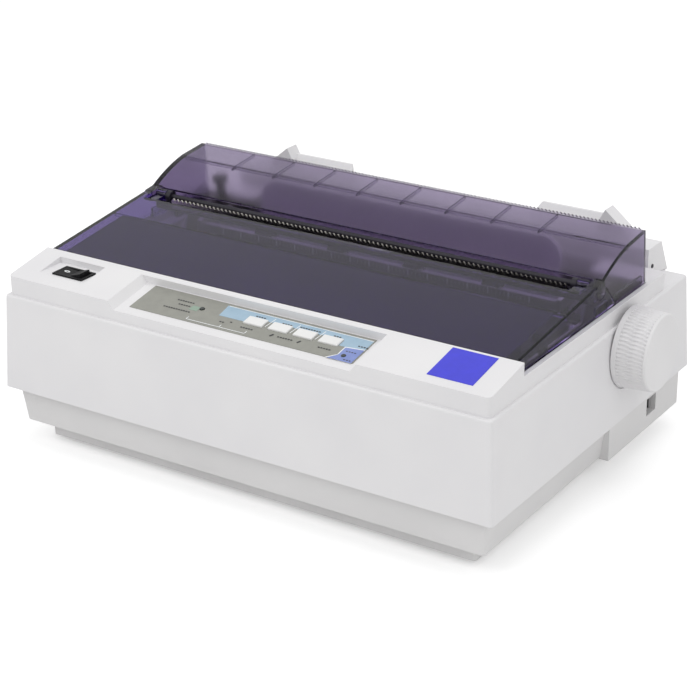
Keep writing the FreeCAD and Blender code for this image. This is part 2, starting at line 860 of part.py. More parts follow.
def hood_edges(shrink, x):
    # Ends of the hood's profile, its front arc and its top facet, moved inwards by shrink
    lift = math.hypot(ridge_y - seam_top_y, ridge_z - seam_top_z)
    ny = -(ridge_z - seam_top_z) / lift
    nz = (ridge_y - seam_top_y) / lift
    start = V(x, seam_top_y - shrink * ny, seam_top_z - shrink * nz)
    ridge = V(x, ridge_y + shrink * cover_slope, ridge_z - shrink)
    middle = (start + ridge) * 0.5 + V(0, hood_bulge * ny, hood_bulge * nz)
    rear = V(x, hood_rear_y, hood_rear_z - shrink)
    return start, rear, [Part.Arc(start, middle, ridge).toShape(), Part.makeLine(ridge, rear)]


def make_rear_hood():
    x0 = -cover_half
    start, rear, outer = hood_edges(0, x0)
    in_start, in_rear, inner = hood_edges(cover_t, x0)
    ends = [Part.makeLine(rear, in_rear), Part.makeLine(in_start, start)]
    roof = Part.Face(Part.Wire(Part.__sortEdges__(outer + inner + ends)))
    roof = roof.extrude(V(2 * cover_half, 0, 0))
    foot_rear = V(x0, hood_foot_y, cover_foot_z)
    foot_front = V(x0, seam_foot_y, cover_foot_z)
    side = Part.Face(Part.Wire(outer + [Part.makeLine(rear, foot_rear),
                                        Part.makeLine(foot_rear, foot_front),
                                        Part.makeLine(foot_front, start)]))
    side = side.extrude(V(cover_t, 0, 0))
    disc = rod_x(disc_r, -cover_half, -channel_half, hinge_y, hinge_z).common(skyline())
    web = prism_x([(channel_y1, beam_z0), (channel_y1, seam_top_z - cover_t / 2),
                   (channel_y1 + cover_t, seam_top_z - cover_t / 2), (channel_y1 + cover_t, beam_z0)],
                  -channel_half, channel_half)
    leg = prism_x([(leg_y0, tab_z1), (leg_y0, side_ledge_z + gap), (leg_y1, side_ledge_z + gap),
                   (leg_y1, tab_z1)], cover_half - cover_t - tab_t, cover_half - cover_t / 2)
    pieces = [roof, web] + both(side) + both(disc) + both(leg) + hood_ribs() + rear_teeth()
    relief = both(rod_x(knuckle_r + gap, collar_x0 - gap, channel_half - gap, hinge_y, hinge_z))
    return join(pieces).cut(relief)


def hood_ribs():
    # Ribs under the top facet, and one long rib under the ridge
    front = ridge_y - rib_ahead
    under = cover_t + rib_h
    across = [(front, ridge_z - under), (ridge_y, ridge_z - cover_t / 2),
              (hood_rear_y, hood_rear_z - cover_t / 2), (hood_rear_y, hood_rear_z - under),
              (ridge_y, ridge_z - under)]
    ribs = []
    for index in range(rib_count):
        x = rib_first_x + index * rib_pitch
        ribs.append(prism_x(across, x - rib_t / 2, x + rib_t / 2))
    along = [(ridge_y, ridge_z - cover_t / 2), (ridge_y + rib_t, ridge_z - cover_t / 2),
             (ridge_y + rib_t, ridge_z - under), (ridge_y, ridge_z - under)]
    ribs.append(prism_x(along, cover_t / 2 - cover_half, cover_half - cover_t / 2))
    return ribs


def rear_teeth():
    # Upright saw teeth along the hood's rear top edge
    count = int(2 * (cover_half - cover_t) / tooth_pitch)
    first = -count * tooth_pitch / 2
    low = hood_rear_z - cover_t / 2
    points = [(first, low), (first, hood_rear_z)]
    for index in range(count):
        points.append((first + (index + 0.5) * tooth_pitch, hood_rear_z + tooth_h))
        points.append((first + (index + 1) * tooth_pitch, hood_rear_z))
    points.append((first + count * tooth_pitch, low))
    return [prism_y(points, hood_rear_y - tooth_t, hood_rear_y)]


def make_hood_beam():
    # Dark cross beam under the seam, with the collars that hold the hinge rod
    beam = box(-channel_half + gap, channel_half - gap, beam_y0, channel_y1, beam_z0, beam_z1)
    collar = join([rod_x(knuckle_r, collar_x0, collar_x1, hinge_y, hinge_z),
                   box(collar_x0, collar_x1, hinge_y - knuckle_r / 2, hinge_y + knuckle_r / 2,
                       beam_z1 - wall, hinge_z)])
    clear = both(rod_x(knuckle_r + gap, collar_x1 + gap / 2, channel_half, hinge_y, hinge_z))
    clear.append(rod_x(rod_r + fit, -case_half, case_half, hinge_y, hinge_z))
    return join([beam] + both(collar)).cut(clear)


def make_hinge_rod():
    return rod_x(rod_r, -barrel_x1, barrel_x1, hinge_y, hinge_z)


bar_pitch = 3.2
bar_t = 1.2
bar_h = 8.5
bar_rise = 0.5
bar_tooth = 1.6
bar_z1 = hinge_z + bar_rise
bar_z0 = bar_z1 - bar_h


def make_tear_bar():
    # Saw-toothed steel bar in front of the hinge rod
    count = int(2 * collar_x0 / bar_pitch) - 1
    first = -count * bar_pitch / 2
    points = [(first, bar_z0)]
    for index in range(count):
        points.append((first + index * bar_pitch, bar_z1 - bar_tooth))
        points.append((first + (index + 0.5) * bar_pitch, bar_z1))
    points.append((first + count * bar_pitch, bar_z1 - bar_tooth))
    points.append((first + count * bar_pitch, bar_z0))
    return prism_y(points, beam_y0 - bar_t, beam_y0)


# Platen body
gear_module = 0.8
platen_teeth = 48
idler_teeth = 30
pinion_teeth = 12
gear_w = 5.0
gear_gap = 1.4
gear_x = -frame_in - frame_t - gear_gap
idler_angle = -50.0
pinion_angle = -20.0
addendum_share = 0.85
dedendum_share = 1.15
root_share = 0.30
tip_share = 0.13


def gear(teeth, width, x, y, z, phase, bore):
    # A spur gear about an axis along x, with straight-sided teeth
    pitch_r = gear_module * teeth / 2
    tip_r = pitch_r + addendum_share * gear_module
    root_r = pitch_r - dedendum_share * gear_module
    step = 2 * math.pi / teeth
    widths = ((root_r, root_share), (tip_r, tip_share))
    corners = []
    for index in range(teeth):
        angle = phase + index * step
        for radius, share in (widths[0], widths[1]):
            corners.append((radius, angle - share * step))
        for radius, share in (widths[1], widths[0]):
            corners.append((radius, angle + share * step))
    points = [(y + r * math.cos(a), z + r * math.sin(a)) for r, a in corners]
    blank = prism_x(points, x - width, x)
    return blank.cut(rod_x(bore, x - width - cut_over, x + cut_over, y, z))


def gear_places():
    ratio = gear_module / 2
    a = math.radians(idler_angle)
    reach = ratio * (platen_teeth + idler_teeth)
    idler = (platen_y + reach * math.cos(a), platen_z + reach * math.sin(a))
    b = math.radians(pinion_angle)
    reach = ratio * (idler_teeth + pinion_teeth)
    pinion = (idler[0] + reach * math.cos(b), idler[1] + reach * math.sin(b))
    return idler, pinion


def gear_phases():
    # A tooth of each gear stands in a gap of the one before it
    a = math.radians(idler_angle)
    b = math.radians(pinion_angle)
    idler_step = 2 * math.pi / idler_teeth
    pinion_step = 2 * math.pi / pinion_teeth
    idler_phase = a + math.pi + idler_step / 2
    offset = (b - idler_phase) / idler_step
    off_centre = offset - round(offset)
    pinion_phase = b + math.pi + pinion_step / 2 + off_centre * pinion_step
    return a, idler_phase, pinion_phase


def make_platen_shaft():
    left = gear_x - gear_w - gap
    return rod_x(shaft_r, left, knob_in_x + knob_bore_depth, platen_y, platen_z)


def make_platen_roller():
    roller = rod_x(platen_r, -platen_half, platen_half, platen_y, platen_z)
    return roller.cut(rod_x(shaft_r, -case_half, case_half, platen_y, platen_z))


def make_platen_knob():
    # It tapers outwards, and its grip has slanting ribs between a wide rim and a narrow lip
    x0 = knob_in_x
    x1 = knob_out_x
    blank = Part.makeCone(knob_r, knob_tip_r, x1 - x0, V(x0, platen_y, platen_z), V(1, 0, 0))
    outer = [e for e in blank.Edges if e.BoundBox.XMin > x1 - fit]
    blank = blank.makeFillet(knob_round, outer)
    inner = [e for e in blank.Edges if e.BoundBox.XMax < x0 + fit]
    blank = blank.makeFillet(knob_round / 2, inner)
    grip0 = x0 + knob_rim
    grip1 = x1 - knob_lip
    band = rod_x(knob_r + cut_over, grip0, grip1, platen_y, platen_z)
    rings = [grip_outline(grip0 + share * (grip1 - grip0), share) for share in (0, 0.5, 1)]
    core = Part.makeLoft(rings, True, True)
    blank = blank.cut(band.cut(core))
    return blank.cut(rod_x(shaft_r, x0 - cut_over, x0 + knob_bore_depth, platen_y, platen_z))


def grip_outline(x, turned_share):
    # One ring of the grip, turned by its share of the twist
    taper_share = (x - knob_in_x) / (knob_out_x - knob_in_x)
    crest = knob_r + taper_share * (knob_tip_r - knob_r)
    step = 2 * math.pi / knob_teeth
    corners = []
    for index in range(knob_teeth):
        for radius, share in zip((crest - knob_tooth, crest, crest), grip_shares):
            angle = math.radians(knob_twist) * turned_share + (index + share) * step
            corners.append(V(x, platen_y + radius * math.cos(angle), platen_z + radius * math.sin(angle)))
    return Part.makePolygon(corners + corners[:1])


def make_platen_gear():
    phase = gear_phases()[0]
    wheel = gear(platen_teeth, gear_w, gear_x, platen_y, platen_z, phase, shaft_r)
    return wheel


def make_idler_gear():
    (y, z), place = gear_places()
    return gear(idler_teeth, gear_w, gear_x, y, z, gear_phases()[1], stud_r + fit)


def make_feed_pinion():
    idler, (y, z) = gear_places()
    wheel = gear(pinion_teeth, gear_w, gear_x, y, z, gear_phases()[2], motor_shaft_r)
    shaft = rod_x(motor_shaft_r, gear_x - gear_w, -frame_in + motor_gap, y, z)
    return join([wheel, shaft])


stud_r = 3.0
motor_shaft_r = 2.0
motor_gap = 6.0
feed_motor_r = 17.0
feed_motor_l = 22.0
bush_r = 8.0
bush_w = 4.0
pinch_r = 6.0
pinch_angle = 55.0
pinch_pin_r = 2.5
pinch_len = 18.0
pinch_inset = 20.0
pinch_count = 4
carriage_ahead = 48.0
carriage_drop = 23.1
carriage_shaft_r = 5.0
bail_pivot_rise = 20.9
bail_pivot_r = 2.5
bail_ahead = 9.4
bail_rise = 20.1
release_behind = 30.0
release_rise = 8.9
lever_ahead = 68.0
lever_drop = 5.1
lever_pin_r = 2.5
frame_top_rise = 28.9
frame_front_rise = 4.9
frame_step = 20.0
motor_flange_drop = 14.0
pinch_half = platen_half - pinch_inset
carriage_shaft_y = platen_y - carriage_ahead
carriage_shaft_z = platen_z - carriage_drop
bail_pivot_y = base_y1
bail_pivot_z = platen_z + bail_pivot_rise
bail_y = platen_y - bail_ahead
bail_z = platen_z + bail_rise
release_y = platen_y + release_behind
release_z = platen_z + release_rise
lever_y = platen_y - lever_ahead
lever_z = platen_z - lever_drop
frame_top_z = platen_z + frame_top_rise
frame_front_z = platen_z + frame_front_rise
frame_step_y = base_y0 + frame_step
motor_flange_z = base_z - motor_flange_drop


def frame_outline():
    # Side view of a mechanism side plate
    step_z = frame_front_z + 2 * shaft_r
    return [(base_y0, base_z + base_t), (base_y0, frame_front_z), (frame_step_y, step_z),
            (platen_y - platen_r, step_z), (platen_y - platen_r + shaft_r, frame_top_z),
            (bail_pivot_y + shaft_r, frame_top_z), (release_y + 2 * shaft_r, release_z + shaft_r),
            (feed_rear_y(), release_z - 2 * shaft_r), (feed_rear_y(), motor_flange_z),
            (base_y1 + 2 * frame_t, motor_flange_z), (base_y1 + 2 * frame_t, base_z + base_t)]


def feed_rear_y():
    return gear_places()[1][0] + feed_motor_r + frame_t


def pinch_places():
    reach = platen_r + pinch_r + gap
    a = math.radians(pinch_angle)
    return [(platen_y - reach * math.cos(a), platen_z - reach * math.sin(a)),
            (platen_y + reach * math.cos(a), platen_z - reach * math.sin(a))]


def frame_holes(x0, x1, left):
    holes = [rod_x(bush_r, x0, x1, platen_y, platen_z),
             rod_x(carriage_shaft_r, x0, x1, carriage_shaft_y, carriage_shaft_z),
             rod_x(bail_pivot_r + fit, x0, x1, bail_pivot_y, bail_pivot_z)]
    for y, z in pinch_places():
        holes.append(rod_x(pinch_pin_r + fit, x0, x1, y, z))
    if left:
        idler, pinion = gear_places()
        holes.append(rod_x(motor_shaft_r + 2 * fit, x0, x1, pinion[0], pinion[1]))
    return holes


def make_side_frame(sign):
    plate = prism_x(frame_outline(), frame_in, frame_in + frame_t)
    low = base_z + base_t
    foot = box(frame_in - shelf_w, frame_in + frame_t, base_y0, base_y1, low, low + frame_t)
    lug = box(frame_in - shelf_w, frame_in + frame_t, base_y0, base_y0 + 2 * shelf_w,
              cartridge_z0 - gap - frame_t, cartridge_z0 - gap)
    wells = []
    for y in (frame_post_y0, frame_post_y1):
        wells.append(rod_z(screw_head_r + screw_play, frame_post_x, y, base_z, base_z + 2 * shelf_w))
    plate = join([plate, foot, lug]).cut(wells)
    if sign < 0:
        plate = mirrored(plate).cut(frame_holes(-frame_in - 2 * frame_t, -frame_in + frame_t, True))
        return join([plate, idler_stud(), release_pin()])
    plate = plate.cut(frame_holes(frame_in - frame_t, frame_in + 2 * frame_t, False))
    return join([plate, gap_pin()])


shelf_w = 10.0
cartridge_rise = 5.4
cartridge_z0 = platen_z + cartridge_rise


def make_frame_base():
    plate = box(-frame_in - frame_t, frame_in + frame_t, base_y0, base_y1, base_z, base_z + base_t)
    tools = []
    low = base_z - cut_over
    high = base_z + base_t + cut_over
    for x in (-frame_post_x, frame_post_x):
        for y in (frame_post_y0, frame_post_y1):
            tools.append(rod_z(screw_r + fit, x, y, low, high))
    tools.append(rod_z(motor_shaft_r + gap, -pulley_x, belt_y, low, high))
    return join([plate.cut(tools), guide_rail(), tension_pin()])


def make_carriage_shaft():
    half = frame_in + frame_t
    return rod_x(carriage_shaft_r, -half, half, carriage_shaft_y, carriage_shaft_z)


pulley_inset = 1.0
belt_ahead = 26.0
pulley_r = 6.0
pulley_rise = 3.5
pulley_x = platen_half - pulley_inset
belt_y = carriage_shaft_y - belt_ahead
pulley_z0 = base_z + pulley_rise
pulley_h = 6.0
pulley_flange = 0.8
belt_t = 1.0
pulley_lip = 1.8
rail_behind = 6.0
rail_t = 2.0
rail_h = 14.0
rail_foot = 8.0
rail_y0 = base_y0 + rail_behind
rail_top = base_z + rail_h


def guide_rail():
    # Folded strip that the carriage's front foot slides on
    half = frame_in - shelf_w - wall
    low = base_z + base_t
    foot = box(-half, half, rail_y0, rail_y0 + rail_foot, low, low + rail_t)
    web = box(-half, half, rail_y0, rail_y0 + rail_t, low, rail_top)
    return join([foot, web])


def make_bushes():
    bushes = []
    for x0, flange in ((-frame_in - frame_t, 1), (frame_in, -1)):
        sleeve = rod_x(bush_r, x0, x0 + frame_t, platen_y, platen_z)
        x1 = x0 + frame_t if flange > 0 else x0 - bush_w
        collar = rod_x(bush_r + frame_t, x1, x1 + bush_w, platen_y, platen_z)
        bore = rod_x(shaft_r + fit, -case_half, case_half, platen_y, platen_z)
        bushes.append(join([sleeve, collar]).cut(bore))
    return Part.Compound(bushes)


def make_feed_motor():
    idler, (y, z) = gear_places()
    x0 = -frame_in
    body = rod_x(feed_motor_r, x0, x0 + feed_motor_l, y, z)
    room = rod_x(motor_shaft_r + gap, x0 - cut_over, x0 + motor_gap + gap, y, z)
    return body.cut(room)


def idler_stud():
    (y, z), pinion = gear_places()
    pin = rod_x(stud_r, gear_x - gear_w - gap - frame_t, -frame_in - frame_t / 2, y, z)
    cap = rod_x(stud_r + frame_t, gear_x - gear_w - gap - frame_t, gear_x - gear_w - gap, y, z)
    return join([pin, cap])


carriage_motor_r = 19.0
carriage_motor_h = 28.0


def make_carriage_motor():
    body = rod_z(carriage_motor_r, -pulley_x, belt_y, base_z - carriage_motor_h, base_z)
    low = base_z - motor_gap - gap
    return body.cut(rod_z(motor_shaft_r + gap, -pulley_x, belt_y, low, base_z + cut_over))


def pulley(x, hub):
    high = pulley_z0 + pulley_h
    wheel = rod_z(pulley_r, x, belt_y, pulley_z0, high)
    top = rod_z(pulley_r + pulley_lip, x, belt_y, high, high + pulley_flange)
    low = rod_z(pulley_r + pulley_lip, x, belt_y, pulley_z0 - pulley_flange, pulley_z0)
    return join([wheel, top, low] + hub)


def make_drive_pulley():
    shaft = rod_z(motor_shaft_r, -pulley_x, belt_y, base_z - motor_gap, pulley_z0)
    return pulley(-pulley_x, [shaft])


def make_tension_pulley():
    bore = rod_z(motor_shaft_r + fit, pulley_x, belt_y, 0, case_d)
    return pulley(pulley_x, []).cut(bore)


def tension_pin():
    # Fixed pin with a foot for the right-hand pulley
    foot = rod_z(2 * motor_shaft_r, pulley_x, belt_y, base_z + base_t, pulley_z0 - pulley_flange - gap)
    pin = rod_z(motor_shaft_r, pulley_x, belt_y, base_z + base_t, pulley_z0 + pulley_h + 2 * pulley_flange)
    return join([foot, pin])


def belt_loop(grow):
    r = pulley_r + gap + grow
    body = box(-pulley_x, pulley_x, belt_y - r, belt_y + r, belt_z0(), belt_z1())
    ends = [rod_z(r, x, belt_y, belt_z0(), belt_z1()) for x in (-pulley_x, pulley_x)]
    return join([body] + ends)


def belt_z0():
    return pulley_z0 + gap


def belt_z1():
    return pulley_z0 + pulley_h - gap


def make_carriage_belt():
    return belt_loop(belt_t).cut(belt_loop(0))


carriage_half = 24.0
carriage_deck_rise = 4.0
carriage_deck_t = 3.0
carriage_behind = 14.0
carriage_wall = 4.0
clamp_t = 2.0
clamp_half = 10.0
head_r = 11.5
head_ahead = 30.0
head_l = 32.0
nose_ahead = 17.4
nose_half_w = 7.0
nose_half_h = 3.6
fin_count = 6
fin_pitch = 4.2
fin_t = 1.5
fin_half = 20.0
fin_rise = 19.9
fin_inset = 0.5
sleeve_t = 2.0
carriage_deck_z0 = rail_top + carriage_deck_rise
carriage_deck_z1 = carriage_deck_z0 + carriage_deck_t
carriage_y0 = rail_y0 - clamp_t
carriage_y1 = carriage_shaft_y + carriage_behind
head_y1 = platen_y - head_ahead
head_y0 = head_y1 - head_l
nose_y1 = platen_y - nose_ahead
fin_z1 = platen_z + fin_rise
fin_y0 = head_y0 + fin_inset


def make_carriage():
    deck = box(-carriage_half, carriage_half, carriage_y0, carriage_y1,
               carriage_deck_z0, carriage_deck_z1)
    r = carriage_shaft_r + carriage_wall
    block = box(-carriage_half, carriage_half, carriage_shaft_y - r, carriage_shaft_y + r,
                carriage_shaft_z - r + carriage_wall / 2, carriage_deck_z1)
    foot = box(-clamp_half, clamp_half, carriage_y0, rail_y0 + rail_t + clamp_t,
               rail_top + gap, carriage_deck_z0)
    front_run = belt_y - pulley_r - gap - belt_t
    clamp_y = front_run - clamp_t
    clamp = box(-clamp_half, clamp_half, clamp_y, front_run - gap, belt_z0(), carriage_deck_z0)
    jaw = box(-clamp_half, clamp_half, clamp_y, belt_y - pulley_r + clamp_t,
              belt_z1() + gap, carriage_deck_z0)
    cradle = box(-head_r, head_r, head_y0 + wall, head_y1, carriage_deck_z1, platen_z)
    body = join([deck, block, foot, clamp, jaw, cradle])
    bore = rod_x(carriage_shaft_r + fit, -case_half, case_half, carriage_shaft_y, carriage_shaft_z)
    seat = rod(head_r + sleeve_t, V(0, 0, platen_z), V(0, case_d, platen_z))
    return body.cut([bore, seat])


def make_print_head():
    barrel = rod(head_r, V(0, head_y0 - wall, platen_z), V(0, head_y1, platen_z))
    nose = box(-nose_half_w, nose_half_w, head_y1 - cut_over, nose_y1,
               platen_z - nose_half_h, platen_z + nose_half_h)
    neck = Part.makeCone(head_r, nose_half_w, carriage_wall, V(0, head_y1, platen_z), V(0, 1, 0))
    socket = box(-nose_half_w, nose_half_w, head_y0 - 2 * wall, head_y0 - wall, platen_z - nose_half_h,
                 platen_z + nose_half_w)
    return join([barrel, nose, neck, socket])


def make_heat_sink():
    low = carriage_deck_z1 + gap
    fins = []
    for index in range(fin_count):
        y = fin_y0 + index * fin_pitch
        fins.append(box(-fin_half, fin_half, y, y + fin_t, low, fin_z1))
    sleeve = rod(head_r + sleeve_t, V(0, head_y0, platen_z), V(0, head_y1 - wall, platen_z))
    body = join([sleeve] + fins)
    cradle = box(-head_r - gap, head_r + gap, head_y0 + wall - gap, head_y1 + gap,
                 low - cut_over, platen_z)
    round_room = rod(head_r + sleeve_t, V(0, 0, platen_z), V(0, case_d, platen_z))
    return body.cut([cradle.cut(round_room), rod(head_r, V(0, 0, platen_z), V(0, case_d, platen_z))])


# Ribbon cartridge in front of the platen
cartridge_inset = 5.0
cartridge_ahead = 112.0
cartridge_d = 36.0
cartridge_h = 15.5
arm_w = 12.0
arm_ahead = 19.0
arm_rise = 14.9
ribbon_ahead = 1.3
ribbon_t = 0.25
ribbon_half_h = 6.3
tip_w = 5.0
wind_inset = 40.0
wind_r = 9.0
wind_h = 3.5
wind_grip_h = 2.0
cartridge_half = frame_in - cartridge_inset
cartridge_y0 = platen_y - cartridge_ahead
cartridge_y1 = cartridge_y0 + cartridge_d
cartridge_z1 = cartridge_z0 + cartridge_h
arm_in = cartridge_half - arm_w
arm_y1 = platen_y - arm_ahead
arm_z1 = platen_z + arm_rise
ribbon_y = platen_y - platen_r - ribbon_ahead
wind_x = wind_inset - cartridge_half
wind_y = cartridge_y0 + cartridge_d / 2


def make_ribbon_cartridge():
    body = box(-cartridge_half, cartridge_half, cartridge_y0, cartridge_y1, cartridge_z0, cartridge_z1)
    edges = [e for e in body.Edges if e.BoundBox.ZMin > cartridge_z1 - fit]
    body = body.makeChamfer(wall / 2, edges)
    pieces = [body]
    low = platen_z - ribbon_half_h - wall
    for arm in both(box(arm_in, cartridge_half, cartridge_y1 - wall, arm_y1, cartridge_z0, arm_z1)):
        pieces.append(arm)
    for tip in both(box(arm_in, arm_in + tip_w, arm_y1 - 3 * tip_w, ribbon_y - gap, low, arm_z1)):
        pieces.append(tip)
    well = rod_z(stud_r, wind_x, wind_y, cartridge_z0 + wall, cartridge_z1 + cut_over)
    return join(pieces).cut([well])


def make_ribbon():
    # Inked band that runs across the platen from one arm to the other
    low = platen_z - ribbon_half_h
    high = platen_z + ribbon_half_h
    return box(-arm_in - tip_w, arm_in + tip_w, ribbon_y - gap, ribbon_y - gap + ribbon_t, low, high)


def make_ribbon_knob():
    disc = rod_z(wind_r, wind_x, wind_y, cartridge_z1 + gap, cartridge_z1 + gap + wind_h)
    grip = box(wind_x - wind_r + wall / 2, wind_x + wind_r - wall / 2, wind_y - wall / 2, wind_y + wall / 2,
               cartridge_z1 + gap + wind_h, cartridge_z1 + gap + wind_h + wind_grip_h)
    pin = rod_z(stud_r - fit, wind_x, wind_y, cartridge_z0 + wall + gap, cartridge_z1 + gap)
    return join([disc, grip, pin])


# Paper path
guide_in_r = 17.2
guide_t = 1.4
guide_inset = 1.0
guide_front_angle = 208.0
guide_rear_angle = 342.0
window_half = 12.0
separator_inset = 13.0
separator_t = 2.2
separator_behind = 22.0
separator_rise = 2.9
separator_h = 43.0
separator_lean = 5.5
separator_r = 14.0
wing_h = 10.0
entry_inset = 9.0
entry_drop = 2.1
guide_half = platen_half - guide_inset
separator_half = platen_half - separator_inset
separator_y0 = platen_y + separator_behind
separator_y1 = separator_y0 + separator_lean
separator_z0 = platen_z + separator_rise
separator_z1 = separator_z0 + separator_h
entry_y1 = band_rear_y - entry_inset
entry_z1 = shelf_z - entry_drop


def polar(radius, degrees):
    a = math.radians(degrees)
    return V(0, platen_y + radius * math.cos(a), platen_z + radius * math.sin(a))


def make_lower_guide():
    # Trough that leads the paper round the underside of the platen
    a0 = guide_front_angle
    a1 = guide_rear_angle
    outer_r = guide_in_r + guide_t
    outer = Part.Arc(polar(outer_r, a0), polar(outer_r, (a0 + a1) / 2), polar(outer_r, a1)).toShape()
    inner = Part.Arc(polar(guide_in_r, a0), polar(guide_in_r, (a0 + a1) / 2), polar(guide_in_r, a1)).toShape()
    front = Part.makeLine(polar(guide_in_r, a0), polar(outer_r, a0))
    rear = Part.makeLine(polar(guide_in_r, a1), polar(outer_r, a1))
    trough = Part.Face(Part.Wire(Part.__sortEdges__([outer, inner, front, rear])))
    trough = trough.extrude(V(2 * guide_half, 0, 0))
    trough.translate(V(-guide_half, 0, 0))
    tools = []
    for x in pinch_x_places():
        for y, z in pinch_places():
            tools.append(rod_x(pinch_r + 2 * gap, x - window_half, x + window_half, y, z))
    for y, z in pinch_places():
        tools.append(rod_x(pinch_pin_r + gap, -case_half, case_half, y, z))
    trough = trough.cut(tools)
    legs = []
    leg_top = platen_z - guide_in_r - guide_t / 2
    for x in (-guide_half + wall, -wall, guide_half - 2 * wall):
        legs.append(box(x, x + wall, platen_y - wall, platen_y + wall, base_z + base_t, leg_top))
    return join([trough] + legs)


def pinch_x_places():
    step = 2 * pinch_half / pinch_count
    return [-pinch_half + (index + 0.5) * step for index in range(pinch_count)]


def make_pinch_rollers(which):
    y, z = pinch_places()[which]
    pieces = [rod_x(pinch_pin_r, -frame_in - frame_t, frame_in + frame_t, y, z)]
    for x in pinch_x_places():
        pieces.append(rod_x(pinch_r, x - pinch_len / 2, x + pinch_len / 2, y, z))
    return join(pieces)


def make_paper_separator():
    # Pale plate behind the platen: sheets go in behind it and come out in front
    y0, z0, y1, z1 = separator_y0, separator_z0, separator_y1, separator_z1
    plate = prism_x([(y0, z0), (y1, z1), (y1 + separator_t, z1), (y0 + separator_t, z0)],
                    -separator_half, separator_half)
    x = separator_half - separator_r
    z = separator_z1 - separator_r
    corner = box(x, separator_half + cut_over, 0, case_d, z, separator_z1 + cut_over)
    corner = corner.cut(rod(separator_r, V(x, 0, z), V(x, case_d, z)))
    plate = plate.cut(both(corner))
    wings = both(box(separator_half - wall, frame_in, y0, y0 + separator_t, z0, z0 + wing_h))
    return join([plate] + wings)


def make_entry_guide():
    # Sloping chute from the rear slot down to the platen
    y0 = separator_y0 + 2 * separator_t
    y1 = band_rear_y - wall - gap
    z0 = separator_z0 - platen_r / 2
    low = entry_z1 - separator_t
    points = [(y0, z0), (entry_y1, entry_z1), (y1, entry_z1), (y1, low),
              (entry_y1 + separator_t / 2, low), (y0 + separator_t, z0)]
    return prism_x(points, -guide_half, guide_half)


# Paper bail over the platen
bail_arm_inset = 14.0
bail_arm_t = 3.0
bail_rod_r = 2.0
bail_roller_r = 6.0
bail_roller_w = 10.0
bail_roller_shares = (-0.672, -0.224, 0.224, 0.672)
bail_scale_t = 0.8
scale_ahead = 16.6
scale_rise = 17.9
scale_h = 6.0
bail_arm_x = frame_in - bail_arm_inset
scale_y0 = platen_y - scale_ahead
scale_z0 = platen_z + scale_rise


def make_paper_bail():
    # Pivot shaft, two arms, the rollers' rod and a flat column scale in front of it
    pieces = [rod_x(bail_rod_r, -bail_arm_x - bail_arm_t, bail_arm_x + bail_arm_t, bail_y, bail_z),
              rod_x(bail_pivot_r, -frame_in - frame_t, frame_in + frame_t, bail_pivot_y, bail_pivot_z),
              box(-bail_arm_x - bail_arm_t, bail_arm_x + bail_arm_t, scale_y0, scale_y0 + bail_scale_t,
                  scale_z0, scale_z0 + scale_h)]
    arm_h = bail_pivot_r + wall
    points = [(scale_y0, bail_z - arm_h / 2), (scale_y0, bail_z + arm_h),
              (bail_pivot_y + arm_h, bail_pivot_z + arm_h), (bail_pivot_y + arm_h, bail_pivot_z - arm_h / 2)]
    for arm in both(prism_x(points, bail_arm_x, bail_arm_x + bail_arm_t)):
        pieces.append(arm)
    return join(pieces)


def make_bail_rollers():
    rollers = []
    for share in bail_roller_shares:
        x = share * platen_half
        wheel = rod_x(bail_roller_r, x - bail_roller_w / 2, x + bail_roller_w / 2, bail_y, bail_z)
        rollers.append(wheel.cut(rod_x(bail_rod_r, -case_half, case_half, bail_y, bail_z)))
    return Part.Compound(rollers)


lever_t = 3.0
lever_reach = 30.0
release_top_z = release_z + lever_reach
lever_top_z = lever_z + lever_reach


def hand_lever(x, y, z, top, r):
    # Flat lever on a pin, with a finger pad on top
    arm = prism_x([(y - r - wall, z - r), (y - wall, top), (y + wall, top), (y + r + wall, z - r)],
                  x, x + lever_t)
    pad = box(x - lever_t / 2, x + 2 * lever_t, y - 2 * wall, y + wall, top - wall, top + wall)
    eye = rod_x(r + wall, x, x + lever_t, y, z)
    return join([arm, pad, eye]).cut(rod_x(r + fit, -case_half, case_half, y, z))


def make_release_lever():
    x = -frame_in - frame_t - gap - lever_t
    return hand_lever(x, release_y, release_z, release_top_z, lever_pin_r)


def release_pin():
    x = -frame_in - frame_t
    end = x - 2 * gap - lever_t
    shank = rod_x(lever_pin_r, end, x + frame_t / 2, release_y, release_z)
    cap = rod_x(lever_pin_r + frame_t, end - frame_t, end, release_y, release_z)
    return join([shank, cap])


def make_gap_lever():
    x = frame_in + frame_t + gap
    return hand_lever(x, lever_y, lever_z, lever_top_z, lever_pin_r)


def gap_pin():
    x = frame_in + frame_t
    end = x + 2 * gap + lever_t
    shank = rod_x(lever_pin_r, x - frame_t / 2, end, lever_y, lever_z)
    cap = rod_x(lever_pin_r + frame_t, end, end + frame_t, lever_y, lever_z)
    return join([shank, cap])


# Electronics
def make_main_board():
    board = box(board_x0, board_x1, board_y0, board_y1, board_z, board_z + board_t)
    holes = [rod_z(board_peg_r, x, y, board_z - cut_over, board_z + 2 * board_t) for x, y in board_corners()]
    return board.cut(holes)


chip_h = 4.0
chip_shares = [(0.22, 0.37, 0.21, 0.15), (0.52, 0.38, 0.13, 0.21), (0.79, 0.35, 0.20, 0.13),
               (0.16, 0.70, 0.07, 0.12), (0.31, 0.70, 0.07, 0.12)]
can_shares = [(0.10, 0.19), (0.18, 0.19), (0.88, 0.17)]
can_r = 5.0
can_h = 14.0


